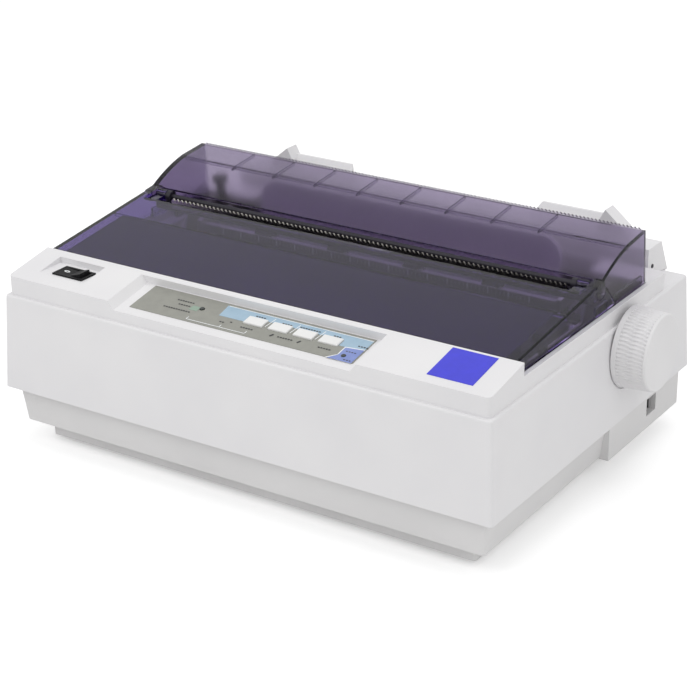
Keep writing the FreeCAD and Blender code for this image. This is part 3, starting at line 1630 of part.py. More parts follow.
def make_board_parts():
    # Chips and capacitors at shares of the board's width and depth
    top = board_z + board_t
    across = board_x1 - board_x0
    back = board_y1 - board_y0
    parts = []
    for x_share, y_share, w_share, d_share in chip_shares:
        x0 = board_x0 + (x_share - w_share / 2) * across
        y0 = board_y0 + (y_share - d_share / 2) * back
        parts.append(box(x0, x0 + w_share * across, y0, y0 + d_share * back, top, top + chip_h))
    for x_share, y_share in can_shares:
        parts.append(rod_z(can_r, board_x0 + x_share * across, board_y0 + y_share * back, top, top + can_h))
    return Part.Compound(parts)


port_body_d = 21.0
port_body_y0 = lip_rear_y - port_body_d
port_shell_t = 1.4
port_tongue_h = 3.0
port_rear_over = 2.2


def parallel_port():
    # 36-way socket that stands on the board and shows in the rear wall
    half = port_half - gap
    top = port_z1 - gap
    low = board_z + board_t
    rear = lip_rear_y + port_rear_over
    body = box(port_x - half, port_x + half, port_body_y0, rear, low, top)
    trim = box(port_x - half - cut_over, port_x + half + cut_over,
               plinth_rear_y - wall - gap, rear + cut_over, 0, port_z0 + gap)
    room_half = half - 2 * port_shell_t
    room = box(port_x - room_half, port_x + room_half, lip_rear_y - 2 * port_tongue_h,
               rear + cut_over, port_z0 + gap + port_shell_t, top - port_shell_t)
    middle = (port_z0 + gap + top) / 2
    tongue_half = half - 6 * port_shell_t
    tongue = box(port_x - tongue_half, port_x + tongue_half,
                 lip_rear_y - 3 * port_tongue_h, rear - port_shell_t,
                 middle - port_tongue_h / 2, middle + port_tongue_h / 2)
    return join([body.cut([trim, room]), tongue])


def side_port():
    # Small square socket at the bottom of the right-hand bay
    x0 = bulge_half - bay_depth + wall
    x1 = bulge_half - bay_depth / 2 + wall
    side = bay_y0 + gap
    block = box(x0, x1, side, bay_y1 - gap, bay_z0, bay_z1 - gap)
    room = box(x0 + wall, x1 + cut_over, side + port_shell_t, bay_y1 - gap - port_shell_t,
               bay_z0 + port_shell_t, bay_z1 - gap - port_shell_t)
    return block.cut(room)


def make_interface_ports():
    return Part.Compound([parallel_port(), side_port()])


def make_ac_inlet():
    # Mains socket that drops into the notch between the two cases
    half = inlet_w / 2 - fit
    z1 = inlet_z0 + inlet_h - fit
    rear = case_d - wall / 2
    body = box(inlet_x - half, inlet_x + half, inlet_body_y, rear, inlet_z0, z1)
    room_half = half - 2 * socket_wall
    room = box(inlet_x - room_half, inlet_x + room_half, inlet_body_y + 2 * socket_wall, rear + cut_over,
               inlet_z0 + 2 * socket_wall, z1 - 2 * socket_wall)
    pins = []
    for index in (-1, 0, 1):
        x = inlet_x + index * inlet_pin_pitch
        middle = (inlet_z0 + z1) / 2 + (socket_wall if index == 0 else -socket_wall / 2)
        pins.append(box(x - inlet_pin_t / 2, x + inlet_pin_t / 2,
                        inlet_body_y + socket_wall, rear - 2 * socket_wall,
                        middle - inlet_pin_w / 2, middle + inlet_pin_w / 2))
    flange_half = half + inlet_flange
    flange_y = lip_rear_y - wall - gap
    flange = box(inlet_x - flange_half, inlet_x + flange_half, flange_y - inlet_flange, flange_y,
                 inlet_z0, z1)
    return join([body.cut(room), flange] + pins)


core_inset = 33.0
core_w = 44.0
core_behind = 18.0
core_l = 50.0
core_x0 = core_inset - frame_in
core_x1 = core_x0 + core_w
core_y0 = board_y0 + core_behind
core_y1 = core_y0 + core_l
core_h = 38.0
coil_out = 8.0
coil_in = 9.0


def transformer_core():
    z0 = foot_h + wall
    core = box(core_x0, core_x1, core_y0, core_y1, z0, z0 + core_h)
    windows = []
    for y0 in (core_y0 + coil_in, core_y1 - 2 * coil_in):
        windows.append(box(core_x0 - cut_over, core_x1 + cut_over, y0, y0 + coil_in,
                           z0 + coil_in, z0 + core_h - coil_in))
    return core.cut(windows)


def transformer_coil():
    # Winding round the core's middle leg, as its outer shape
    z0 = foot_h + wall + coil_in + fit
    z1 = foot_h + wall + core_h - coil_in - fit
    y0 = core_y0 + coil_in + fit
    y1 = core_y1 - coil_in - fit
    ring = box(core_x0 - coil_out, core_x1 + coil_out, y0, y1, z0, z1)
    leg = box(core_x0 - fit, core_x1 + fit, core_y0 + 2 * coil_in - fit, core_y1 - 2 * coil_in + fit,
              z0 - cut_over, z1 + cut_over)
    return ring.cut(leg)


def make_transformer():
    return Part.Compound([transformer_core(), transformer_coil()])


# Sheet guide on the rear shelf and its two edge guides
sheet_inset = 19.0
sheet_front_gap = 3.4
sheet_back = 9.0
sheet_over = 2.0
sheet_h = 20.8
sheet_foot_drop = 1.0
slot_behind = 7.2
slot_d = 3.2
slot_in = 20.0
slot_inset = 12.0
edge_inset = 18.0
edge_w = 58.0
edge_h = 12.1
edge_lean = 7.0
edge_t = 2.2
edge_flange = 3.0
fin_shares = [(1.17, 0), (1.15, 0.55), (0.93, 1.42), (0.86, 0.79), (0.86, 0)]
fin_depth = 11.0
guide_w_half = case_half - sheet_inset
sheet_y0 = band_rear_y + sheet_front_gap
sheet_y1 = case_d - sheet_back
sheet_top_z = shelf_z + sheet_h
sheet_rear_y = case_d + sheet_over
sheet_rear_z = shelf_z - sheet_foot_drop
slot_y0 = sheet_y0 + slot_behind
slot_y1 = slot_y0 + slot_d
slot_out = guide_w_half - slot_inset
edge_out = slot_out - edge_inset
edge_in = edge_out - edge_w
edge_z1 = sheet_top_z + edge_h


def make_sheet_guide():
    floor_z = shelf_z + gap
    outer = prism_x([(sheet_y0, floor_z), (sheet_y0, sheet_top_z), (sheet_y1, sheet_top_z),
                     (sheet_rear_y, sheet_rear_z), (case_d - draft + 3 * gap, sheet_rear_z),
                     (case_d - draft + 3 * gap, floor_z)], -guide_w_half, guide_w_half)
    lean = (sheet_rear_y - sheet_y1) / (sheet_top_z - sheet_rear_z)
    room = prism_x([(sheet_y0 + wall, floor_z - wall), (sheet_y0 + wall, sheet_top_z - wall),
                    (sheet_y1 - wall / 2, sheet_top_z - wall),
                    (sheet_y1 - wall / 2 + lean * (sheet_top_z - wall - floor_z), floor_z),
                    (case_d - draft, floor_z - wall)],
                   -guide_w_half + wall, guide_w_half - wall)
    slots = both(box(slot_in, slot_out, slot_y0, slot_y1, sheet_top_z - 2 * wall, sheet_top_z + wall))
    return outer.cut([room] + slots)


def make_edge_guide(sign):
    y0 = slot_y0 + gap
    y1 = slot_y1 - gap
    base = sheet_top_z + gap
    plate = prism_x([(y0, base), (y0 + edge_lean, edge_z1), (y0 + edge_lean + edge_t, edge_z1),
                     (y0 + edge_t, base)], edge_in, edge_out)
    corner = prism_y([(edge_in - cut_over, base), (edge_in - cut_over, edge_z1 + cut_over),
                      (edge_in + edge_lean, edge_z1 + cut_over)], 0, 2 * case_d)
    plate = plate.cut(corner)
    fin = prism_y([(edge_in + across * edge_w, base + up * edge_h) for across, up in fin_shares],
                  y0, y0 + fin_depth)
    web_x0 = edge_in + 2 * edge_flange
    web_x1 = edge_out - 2 * edge_flange
    low = sheet_top_z - wall - gap
    web = box(web_x0, web_x1, y0, y1, low, base + wall)
    flange = box(web_x0, web_x1, y0 - edge_flange, y1 + edge_flange, low - edge_t, low)
    guide = join([plate, fin, web, flange])
    return guide if sign > 0 else mirrored(guide)


# Whole printer, and the move that puts the origin under its middle
middle_x = (knob_out_x - case_half) / 2
middle_y = sheet_rear_y / 2

pieces = {
    "lower_case": make_lower_case,
    "upper_case": make_upper_case,
    "rubber_feet": make_rubber_feet,
    "case_screws": make_case_screws,
    "frame_screws": make_frame_screws,
    "panel_label": make_panel_label,
    "name_plate": make_name_plate,
    "panel_board": make_panel_board,
    "panel_lamps": make_panel_lamps,
    "power_switch_body": make_power_switch_body,
    "power_rocker": make_power_rocker,
    "front_cover": make_front_cover,
    "cover_liner": make_cover_liner,
    "rear_hood": make_rear_hood,
    "hood_beam": make_hood_beam,
    "hinge_rod": make_hinge_rod,
    "tear_bar": make_tear_bar,
    "platen_shaft": make_platen_shaft,
    "platen_roller": make_platen_roller,
    "platen_knob": make_platen_knob,
    "platen_gear": make_platen_gear,
    "platen_bushes": make_bushes,
    "idler_gear": make_idler_gear,
    "feed_pinion": make_feed_pinion,
    "feed_motor": make_feed_motor,
    "left_side_frame": lambda: make_side_frame(-1),
    "right_side_frame": lambda: make_side_frame(1),
    "frame_base": make_frame_base,
    "carriage_shaft": make_carriage_shaft,
    "carriage": make_carriage,
    "print_head": make_print_head,
    "head_heat_sink": make_heat_sink,
    "carriage_motor": make_carriage_motor,
    "drive_pulley": make_drive_pulley,
    "tension_pulley": make_tension_pulley,
    "carriage_belt": make_carriage_belt,
    "ribbon_cartridge": make_ribbon_cartridge,
    "ribbon": make_ribbon,
    "ribbon_knob": make_ribbon_knob,
    "lower_paper_guide": make_lower_guide,
    "front_pinch_rollers": lambda: make_pinch_rollers(0),
    "rear_pinch_rollers": lambda: make_pinch_rollers(1),
    "paper_separator": make_paper_separator,
    "entry_guide": make_entry_guide,
    "paper_bail": make_paper_bail,
    "bail_rollers": make_bail_rollers,
    "release_lever": make_release_lever,
    "gap_lever": make_gap_lever,
    "main_board": make_main_board,
    "board_parts": make_board_parts,
    "interface_ports": make_interface_ports,
    "ac_inlet": make_ac_inlet,
    "transformer": make_transformer,
    "sheet_guide": make_sheet_guide,
    "left_edge_guide": lambda: make_edge_guide(-1),
    "right_edge_guide": lambda: make_edge_guide(1),
}
for index in range(button_count):
    pieces["panel_button_%d" % (index + 1)] = lambda place=index: make_button(place)

if __name__ == "__main__":
    os.makedirs("parts", exist_ok=True)
    for node, make in pieces.items():
        shape = make()
        shape.translate(V(-middle_x, -middle_y, 0))
        shape.exportStep("parts/" + node + ".step")
        print(node, len(shape.Solids), round(shape.Volume), shape.isValid())
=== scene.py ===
# %% [markdown]
# # A dot matrix printer, dressed
#
# The printer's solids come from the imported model. This lesson gives them the finishes of the real
# printer, adds the small pieces that a photograph shows and a solid model leaves plain, and lights
# the whole as on a studio table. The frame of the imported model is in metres: x to the printer's
# right, y to its rear, z up from the table. Measured sizes are in millimetres, and MM scales them.

# %% Load the frame
import math

import bpy
from mathutils import Matrix, Vector


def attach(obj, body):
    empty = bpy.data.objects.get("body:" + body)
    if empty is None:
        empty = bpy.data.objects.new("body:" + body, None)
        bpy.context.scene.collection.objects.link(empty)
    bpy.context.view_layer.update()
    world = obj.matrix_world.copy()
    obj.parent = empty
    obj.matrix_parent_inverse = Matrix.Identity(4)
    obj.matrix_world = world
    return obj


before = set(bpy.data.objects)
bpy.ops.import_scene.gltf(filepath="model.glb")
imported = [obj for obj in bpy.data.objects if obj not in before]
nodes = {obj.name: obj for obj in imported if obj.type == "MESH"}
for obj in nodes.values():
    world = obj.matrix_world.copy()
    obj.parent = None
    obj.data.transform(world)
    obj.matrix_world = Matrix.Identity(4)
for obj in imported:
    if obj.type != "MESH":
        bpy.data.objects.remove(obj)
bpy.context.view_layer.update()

MM = 0.001

# %% [markdown]
# ## Places that the pieces share
#
# The case was drawn from its own front face and middle, so the measured places of the photograph are
# easiest to read that way. One helper turns such a place in millimetres into a place in the frame.
# The front deck slopes up to the rear, and its tilt follows from its rise over its run.

# %% Places
case_middle_x = -10 * MM
case_front_y = -128 * MM
deck_front_y = 5.2
deck_front_z = 111.5
deck_rise = 6.7
deck_run = 36.8
deck_tilt = math.atan2(deck_rise, deck_run)


def place(x, y, z):
    """A place given from the case's middle, front and foot, in millimetres"""
    return Vector((case_middle_x + x * MM, case_front_y + y * MM, z * MM))


print("deck tilt, degrees:", round(math.degrees(deck_tilt), 2))

# %% [markdown]
# ## Camera
#
# A product photograph is taken from some way off with a long lens, so that the case's edges stay
# nearly parallel. The camera's place, turn and lens come from matching some forty corners of the
# printer. A small shift moves the picture without turning the camera.

# %% Camera
picture_width = 700
focal_pixels = 1934.26
sensor_width = 36.0
camera_place = place(609.47, -796.96, 539.48)
camera_azimuth = math.radians(33.0627)
camera_elevation = math.radians(23.6073)
camera_roll = math.radians(-0.5285)
axis_right = 10.64
axis_up = 0.72

camera_data = bpy.data.cameras.new("studio_camera")
camera_data.sensor_width = sensor_width
camera_data.lens = focal_pixels / picture_width * sensor_width
camera_data.shift_x = -axis_right / picture_width
camera_data.shift_y = -axis_up / picture_width
camera_data.clip_start = 10 * MM
camera = bpy.data.objects.new("studio_camera", camera_data)
bpy.context.scene.collection.objects.link(camera)
turn = (Matrix.Rotation(camera_azimuth, 4, "Z") @ Matrix.Rotation(math.pi / 2 - camera_elevation, 4, "X")
        @ Matrix.Rotation(camera_roll, 4, "Z"))
camera.matrix_world = Matrix.Translation(camera_place) @ turn
bpy.context.scene.camera = camera
print("lens, mm:", round(camera_data.lens, 1))

# %% [markdown]
# ## Helpers for materials
#
# Colours are picked as sRGB hex values, as in any paint program, and Blender works in linear light,
# so one function turns the one into the other. A second adds a node with its settings and its
# links, so that each material below reads as a short list of nodes.

# %% Material helpers


def linear(hex_colour):
    """sRGB hex to linear RGBA"""
    channels = [int(hex_colour[i:i + 2], 16) / 255 for i in (1, 3, 5)]
    return [c / 12.92 if c <= 0.04045 else ((c + 0.055) / 1.055) ** 2.4 for c in channels] + [1.0]


def add_node(tree, kind, settings=None, **inputs):
    """Adds a node, sets its properties, then its inputs: a socket is linked, a value is set"""
    node = tree.nodes.new(kind)
    for name, value in (settings or {}).items():
        setattr(node, name, value)
    for name, value in inputs.items():
        socket = node.inputs[int(name[1:])] if name[1:].isdigit() else node.inputs[name.replace("_", " ")]
        if isinstance(value, bpy.types.NodeSocket):
            tree.links.new(value, socket)
        else:
            socket.default_value = value
    return node


def new_material(name):
    """An empty node material with its output, ready for a shader"""
    material = bpy.data.materials.new(name)
    material.use_nodes = True
    material.node_tree.nodes.clear()
    tree = material.node_tree
    return material, tree, tree.nodes.new("ShaderNodeOutputMaterial")


def spread(tree, source, low, high, stops=(0.3, 0.7)):
    """A ramp between two colours, driven by a pattern"""
    ramp = add_node(tree, "ShaderNodeValToRGB", i0=source)
    for element, place_share, colour in zip(ramp.color_ramp.elements, stops, (low, high)):
        element.position = place_share
        element.color = linear(colour)
    return ramp.outputs[0]


print("white in linear light:", [round(c, 3) for c in linear("#E8E7E9")[:3]])

# %% [markdown]
# ## Moulded plastic
#
# The case is injection-moulded ABS. Its mould was spark-eroded, which leaves a fine grain of a few
# tenths of a millimetre: it breaks up the highlight and makes the surface satin. The colour is
# nearly even, with a slow drift of a percent or two from the flow of the melt. The grain is drawn
# at 0.5 mm, a little coarser than real, so that it shows in the picture at all.

# %% Plastic
grain_height = 0.012 * MM
drift_length = 60 * MM


def moulded_plastic(name, light, dark, roughness, grain_mm=0.5, gloss=0.5):
    """A satin grain over a slow drift between two close colours"""
    material, tree, output = new_material(name)
    at = add_node(tree, "ShaderNodeTexCoord").outputs["Object"]
    drift = add_node(tree, "ShaderNodeTexNoise", Vector=at, Scale=1 / drift_length, Detail=2.0)
    grain = add_node(tree, "ShaderNodeTexNoise", Vector=at, Scale=1 / (grain_mm * MM), Detail=3.0)
    bump = add_node(tree, "ShaderNodeBump", Height=grain.outputs[0], Distance=grain_height, Strength=1.0)
    colour = spread(tree, drift.outputs[0], dark, light)
    shader = add_node(tree, "ShaderNodeBsdfPrincipled", Base_Color=colour, Normal=bump.outputs[0],
                      Roughness=roughness, IOR=1.53, Specular_IOR_Level=gloss)
    tree.links.new(shader.outputs[0], output.inputs[0])
    return material


case_abs = moulded_plastic("case_abs_spark_grained", "#EAE9EA", "#E5E4E6", 0.42)
base_abs = moulded_plastic("base_abs_spark_grained", "#E2E1E1", "#DCDBDB", 0.5)
button_abs = moulded_plastic("button_abs_satin", "#EFEFEE", "#EAEAE9", 0.4, grain_mm=0.8)
knob_abs = moulded_plastic("knob_abs_satin", "#E9E8E9", "#E3E2E3", 0.4)
dark_abs = moulded_plastic("dark_abs_satin", "#29262F", "#201D26", 0.45, gloss=0.25)
black_abs = moulded_plastic("black_switch_nylon", "#1A1A1C", "#131314", 0.55, gloss=0.15)
gear_acetal = moulded_plastic("gear_acetal_white", "#ECEAE2", "#E2DFD4", 0.35)
liner_sheet = moulded_plastic("liner_dark_sheet", "#4F4664", "#483F5B", 0.6, gloss=0.2)
guide_abs = moulded_plastic("paper_guide_pale_abs", "#F4F1F6", "#ECE8F0", 0.4)

# %% [markdown]
# ## Smoked see-through plastic
#
# Both covers are moulded from smoke-tinted polycarbonate. Its tint is in the plastic and not on its
# surface, so a wall seen flat on looks lilac, and an edge that is looked along looks almost black.
# A glass surface with no colour of its own, round a volume that absorbs, gives both from one
# material. How much each colour loses follows from what one 2.5 mm wall lets through. The inside of
# the hood's mould was left unpolished, which blurs what lies behind it, so the hood is rougher than
# the cover. Fine wear has taken the mirror off both, so their gloss and their IOR are under those of
# a new sheet, which is about 1.58.

# %% Smoked plastic
cover_wall = 2.5 * MM
mould_wave = 45 * MM
mould_wave_height = 0.05 * MM
hood_lets_through = (0.485, 0.425, 0.575)
cover_lets_through = (0.44, 0.375, 0.61)
worn_gloss = 0.22
worn_ior = 1.3


def smoked_plastic(name, shares, roughness):
    """Absorption chosen so that one wall lets through the given shares of red, green and blue"""
    material, tree, output = new_material(name)
    loss = [-math.log(share) / cover_wall for share in shares]
    density = max(loss)
    colour = [1 - one / density for one in loss] + [1.0]
    absorb = add_node(tree, "ShaderNodeVolumeAbsorption", Color=colour, Density=density)
    at = add_node(tree, "ShaderNodeTexCoord").outputs["Object"]
    wave = add_node(tree, "ShaderNodeTexNoise", Vector=at, Scale=1 / mould_wave, Detail=1.0)
    bump = add_node(tree, "ShaderNodeBump", Height=wave.outputs[0], Distance=mould_wave_height,
                    Strength=0.5)
    shader = add_node(tree, "ShaderNodeBsdfPrincipled", Base_Color=linear("#FFFFFF"), Normal=bump.outputs[0],
                      Roughness=roughness, IOR=worn_ior, Specular_IOR_Level=worn_gloss,
                      Transmission_Weight=1.0)
    tree.links.new(shader.outputs[0], output.inputs[0])
    tree.links.new(absorb.outputs[0], output.inputs[1])
    return material


smoked_hood = smoked_plastic("smoked_polycarbonate_hood", hood_lets_through, 0.2)
smoked_cover = smoked_plastic("smoked_polycarbonate_cover", cover_lets_through, 0.08)
print("light through one wall:", hood_lets_through)

# %% [markdown]
# ## Rubber, metals and the rest of the inside
#
# The platen is ground nitrile rubber, the frames are zinc-plated sheet, the shafts are ground and
# plated steel. Brushed or rolled metal keeps fine lines along the way that it was worked, so its
# noise is stretched along that way.

# %% Rubber
dust_length = 9 * MM
rubber_grain = 0.6 * MM
rubber_grain_height = 0.02 * MM


def rubber(name, light, dark):
    """A ground surface with a fine grain, a little paler where dust stays on it"""
    material, tree, output = new_material(name)
    at = add_node(tree, "ShaderNodeTexCoord").outputs["Object"]
    dust = add_node(tree, "ShaderNodeTexNoise", Vector=at, Scale=1 / dust_length, Detail=6.0)
    grain = add_node(tree, "ShaderNodeTexNoise", Vector=at, Scale=1 / rubber_grain, Detail=2.0)
    bump = add_node(tree, "ShaderNodeBump", Height=grain.outputs[0], Distance=rubber_grain_height,
                    Strength=1.0)
    colour = spread(tree, dust.outputs[0], dark, light)
    shader = add_node(tree, "ShaderNodeBsdfPrincipled", Base_Color=colour, Normal=bump.outputs[0],
                      Roughness=0.72, IOR=1.52)
    tree.links.new(shader.outputs[0], output.inputs[0])
    return material


platen_rubber = rubber("platen_nitrile_rubber", "#232326", "#17171A")
foot_rubber = rubber("foot_rubber_black", "#2A2A2B", "#1C1C1D")

# %% Metal
mark_height = 0.01 * MM


def metal(name, light, dark, roughness, grain_mm=(40.0, 0.4, 0.4)):
    """grain_mm gives the length of the working marks along x, y and z"""
    material, tree, output = new_material(name)
    at = add_node(tree, "ShaderNodeTexCoord").outputs["Object"]
    stretch = add_node(tree, "ShaderNodeMapping", Vector=at, Scale=[1 / (length * MM) for length in grain_mm])
    marks = add_node(tree, "ShaderNodeTexNoise", Vector=stretch.outputs[0], Scale=1.0, Detail=2.0)
    bump = add_node(tree, "ShaderNodeBump", Height=marks.outputs[0], Distance=mark_height, Strength=1.0)
    colour = spread(tree, marks.outputs[0], dark, light)
    shader = add_node(tree, "ShaderNodeBsdfPrincipled", Base_Color=colour, Normal=bump.outputs[0],
                      Roughness=roughness, Metallic=1.0)
    tree.links.new(shader.outputs[0], output.inputs[0])
    return material


plated_sheet = metal("zinc_plated_sheet", "#C9C8C2", "#B1B0A9", 0.38)
ground_steel = metal("ground_plated_steel", "#D6D6D6", "#BFBFC0", 0.22, grain_mm=(0.5, 6.0, 6.0))
spring_steel = metal("spring_steel_bar", "#CFCBC4", "#A5A19A", 0.25)
bronze = metal("sintered_bronze", "#B48A55", "#9A7345", 0.45, grain_mm=(0.5, 0.5, 0.5))
motor_can = metal("motor_can_phosphated", "#4A4A4C", "#38383A", 0.5, grain_mm=(3.0, 3.0, 3.0))
cast_aluminium = metal("cast_aluminium", "#B9B9BA", "#9D9DA0", 0.42, grain_mm=(0.7, 0.7, 0.7))

# %% [markdown]
# ## Boards, film, plate, lamps and ribbon
#
# A circuit board is green lacquer over copper, in straight runs a millimetre or two apart. The
# panel's label is a polyester film printed from behind, so its colours lie under a satin gloss. The
# square plate is a glossy screen-printed tile, left bare here. The ribbon is woven nylon with ink.

# %% Board
copper_run = 14 * MM


def circuit_board(name):
    """Green lacquer, a little lighter over straight runs of copper"""
    material, tree, output = new_material(name)
    at = add_node(tree, "ShaderNodeTexCoord").outputs["Object"]
    runs = add_node(tree, "ShaderNodeTexBrick", {"offset": 0.37}, Vector=at, Scale=1 / copper_run,
                    Mortar_Size=0.06, Brick_Width=0.9, Row_Height=0.16, Color1=linear("#1F5A38"),
                    Color2=linear("#23623D"), Mortar=linear("#184A2D"))
    shader = add_node(tree, "ShaderNodeBsdfPrincipled", Base_Color=runs.outputs[0], Roughness=0.3, IOR=1.55)
    tree.links.new(shader.outputs[0], output.inputs[0])
    return material


board_green = circuit_board("fr4_green_solder_mask")

# %% Film, plate, lamps, ribbon
screen_drift = 6 * MM


def printed(name, light, dark, roughness, coat=0.0):
    """Ink under a clear film or lacquer: a faint screen pattern and an even gloss"""
    material, tree, output = new_material(name)
    at = add_node(tree, "ShaderNodeTexCoord").outputs["Object"]
    ink = add_node(tree, "ShaderNodeTexNoise", Vector=at, Scale=1 / screen_drift, Detail=4.0)
    colour = spread(tree, ink.outputs[0], dark, light)
    shader = add_node(tree, "ShaderNodeBsdfPrincipled", Base_Color=colour, Roughness=roughness, IOR=1.5,
                      Coat_Weight=coat, Coat_Roughness=0.08)
    tree.links.new(shader.outputs[0], output.inputs[0])
    return material


label_grey = printed("film_warm_grey", "#97978F", "#8F8F88", 0.45)
label_blue = printed("film_sky_blue", "#A5BFD2", "#9DB8CB", 0.45)
label_violet = printed("film_violet_blue", "#8494CE", "#7B8BC6", 0.45)
# White print on the film and scale; the same white is also the painted highlight on the rocker.
white_ink_and_painted_highlight = printed("film_white_line_and_painted_highlight", "#F2F4F5", "#E9ECEE", 0.45)
label_dark = printed("film_dark_mark", "#3C3D40", "#333437", 0.45)
label_green = printed("film_green_tint", "#93A898", "#8CA292", 0.45)
plate_blue = printed("screened_blue_tile", "#2424D8", "#1E1ECE", 0.35, coat=0.25)
lamp_dark = printed("lamp_dark_lens", "#2C3230", "#232927", 0.35, coat=0.1)
ribbon_nylon = printed("inked_woven_nylon", "#17171C", "#0E0E12", 0.8)
resin = printed("black_epoxy_resin", "#202022", "#18181A", 0.4)

# %% [markdown]
# ## Dressing the CAD nodes
#
# Each node that already has its right shape only needs its finish. The table goes from the finish
# to the nodes that have it, which is how a buyer of parts would list them.

# %% Finishes
finishes = {
    case_abs: ["upper_case", "sheet_guide", "left_edge_guide", "right_edge_guide"],
    base_abs: ["lower_case"],
    knob_abs: ["platen_knob"],
    button_abs: ["panel_button_1", "panel_button_2", "panel_button_3", "panel_button_4"],
    guide_abs: ["paper_separator"],
    smoked_hood: ["rear_hood"],
    smoked_cover: ["front_cover"],
    liner_sheet: ["cover_liner"],
    dark_abs: ["hood_beam", "hinge_rod", "ribbon_cartridge", "ribbon_knob", "entry_guide",
               "lower_paper_guide", "carriage", "release_lever", "gap_lever"],
    black_abs: ["power_rocker", "power_switch_body"],
    foot_rubber: ["rubber_feet", "carriage_belt", "front_pinch_rollers", "rear_pinch_rollers"],
    platen_rubber: ["platen_roller", "bail_rollers"],
    plated_sheet: ["left_side_frame", "right_side_frame", "frame_base", "case_screws", "frame_screws",
                   "paper_bail"],
    ground_steel: ["platen_shaft", "carriage_shaft"],
    spring_steel: ["tear_bar"],
    bronze: ["platen_bushes"],
    gear_acetal: ["platen_gear", "idler_gear", "feed_pinion", "drive_pulley", "tension_pulley"],
    motor_can: ["feed_motor", "carriage_motor", "transformer"],
    cast_aluminium: ["print_head", "head_heat_sink"],
    board_green: ["main_board", "panel_board"],
    resin: ["board_parts", "interface_ports", "ac_inlet"],
    label_grey: ["panel_label"],
    plate_blue: ["name_plate"],
    lamp_dark: ["panel_lamps"],
    ribbon_nylon: ["ribbon"],
}
for material, names in finishes.items():
    for name in names:
        mesh = nodes[name].data
        mesh.materials.clear()
        mesh.materials.append(material)
dressed = sum(len(names) for names in finishes.values())
print("dressed nodes:", dressed, "of", len(nodes))

# %% [markdown]
# ## Print on the panel's film
#
# The film was printed from behind in a few spot colours: a sky blue zone round the buttons, a violet
# zone at its right end with a white rim, a green patch round the left lamp, fine white rules, and
# small dark words. Words aren't drawn here: plain bars stand in their places. A texture could paint
# all this, but the film has to stay crisp from close by, so every zone is its own thin sheet of ink.
# Each starts as a plane, flat on the table and in millimetres, is cut to its outline with bisect,
# gets the ink's thickness by extrusion, and only then is laid on the sloping film.

# %% Sheets of ink
label_drop = 4.6
ink = 0.1
ink_sunk = 0.02
stroke_round = 0.35


def along_deck(y):
    """From a place on the film, as seen from above, to the distance along the slope"""
    return (y - deck_front_y - label_drop * math.sin(deck_tilt)) / math.cos(deck_tilt)


def choose(pieces):
    """Selects these pieces alone, with the first one active"""
    bpy.ops.object.select_all(action="DESELECT")
    for piece in pieces:
        piece.select_set(True)
    bpy.context.view_layer.objects.active = pieces[0]


def join(pieces):
    """Makes one object of these pieces"""
    choose(pieces)
    bpy.ops.object.join()
    return pieces[0]


def set_in_frame(piece, x, y, z, turned):
    """Takes a piece drawn in millimetres to its place in the frame, turned and scaled in its mesh"""
    piece.matrix_world = Matrix.Translation(place(x, y, z)) @ Matrix.Scale(MM, 4) @ turned
    choose([piece])
    bpy.ops.object.transform_apply(location=True, rotation=True, scale=True)


def lay_on_film(piece, lift=0.0):
    """Takes a piece drawn flat in millimetres to the sloping film, lifted off it by so much"""
    out = lift - label_drop - ink_sunk
    turned = Matrix.Rotation(deck_tilt, 4, "X") @ Matrix.Translation((0, 0, out))
    set_in_frame(piece, 0, deck_front_y, deck_front_z, turned @ piece.matrix_world)


def finish_piece(piece, name, material, body):
    """Names a new piece, gives it its finish and lets it ride its body"""
    piece.name = name
    piece.data.materials.clear()
    piece.data.materials.append(material)
    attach(piece, body)


def cut_line(start, end):
    """Cuts off what lies to the right of the way from start to end, seen from above"""
    way = Vector((end[0] - start[0], end[1] - start[1], 0)).normalized()
    bpy.ops.mesh.select_all(action="SELECT")
    bpy.ops.mesh.bisect(plane_co=(start[0], start[1], 0), plane_no=(way.y, -way.x, 0), clear_outer=True)


def thicken():
    """Pulls all faces up by the ink's thickness and turns every face outwards"""
    bpy.ops.mesh.select_all(action="SELECT")
    bpy.ops.mesh.extrude_region_move(TRANSFORM_OT_translate={"value": (0, 0, ink)})
    bpy.ops.mesh.select_all(action="SELECT")
    bpy.ops.mesh.normals_make_consistent(inside=False)


def ink_zone(outline, windows=()):
    """A sheet with a convex outline, given anticlockwise, less its rectangular windows"""
    lows = [min(point[k] for point in outline) for k in (0, 1)]
    highs = [max(point[k] for point in outline) for k in (0, 1)]
    middle = [(low + high) / 2 for low, high in zip(lows, highs)]
    bpy.ops.object.select_all(action="DESELECT")
    bpy.ops.mesh.primitive_plane_add(size=1.0, location=(middle[0], middle[1], 0))
    zone = bpy.context.object
    zone.scale = (highs[0] - lows[0], highs[1] - lows[1], 1)
    bpy.ops.object.transform_apply(location=True, rotation=True, scale=True)
    bpy.ops.object.mode_set(mode="EDIT")
    for start, end in zip(outline, outline[1:] + outline[:1]):
        cut_line(start, end)
    for x0, x1, y0, y1 in windows:
        for at, way in (((x0, y0, 0), (1, 0, 0)), ((x1, y0, 0), (1, 0, 0)),
                        ((x0, y0, 0), (0, 1, 0)), ((x0, y1, 0), (0, 1, 0))):
            bpy.ops.mesh.select_all(action="SELECT")
            bpy.ops.mesh.bisect(plane_co=at, plane_no=way)
    bpy.ops.mesh.select_all(action="DESELECT")
    bpy.ops.object.mode_set(mode="OBJECT")
    for face in zone.data.polygons:
        x, y = face.center.x, face.center.y
        face.select = any(x0 < x < x1 and y0 < y < y1 for x0, x1, y0, y1 in windows)
    bpy.ops.object.mode_set(mode="EDIT")
    if windows:
        bpy.ops.mesh.delete(type="FACE")
    thicken()
    bpy.ops.object.mode_set(mode="OBJECT")
    return zone


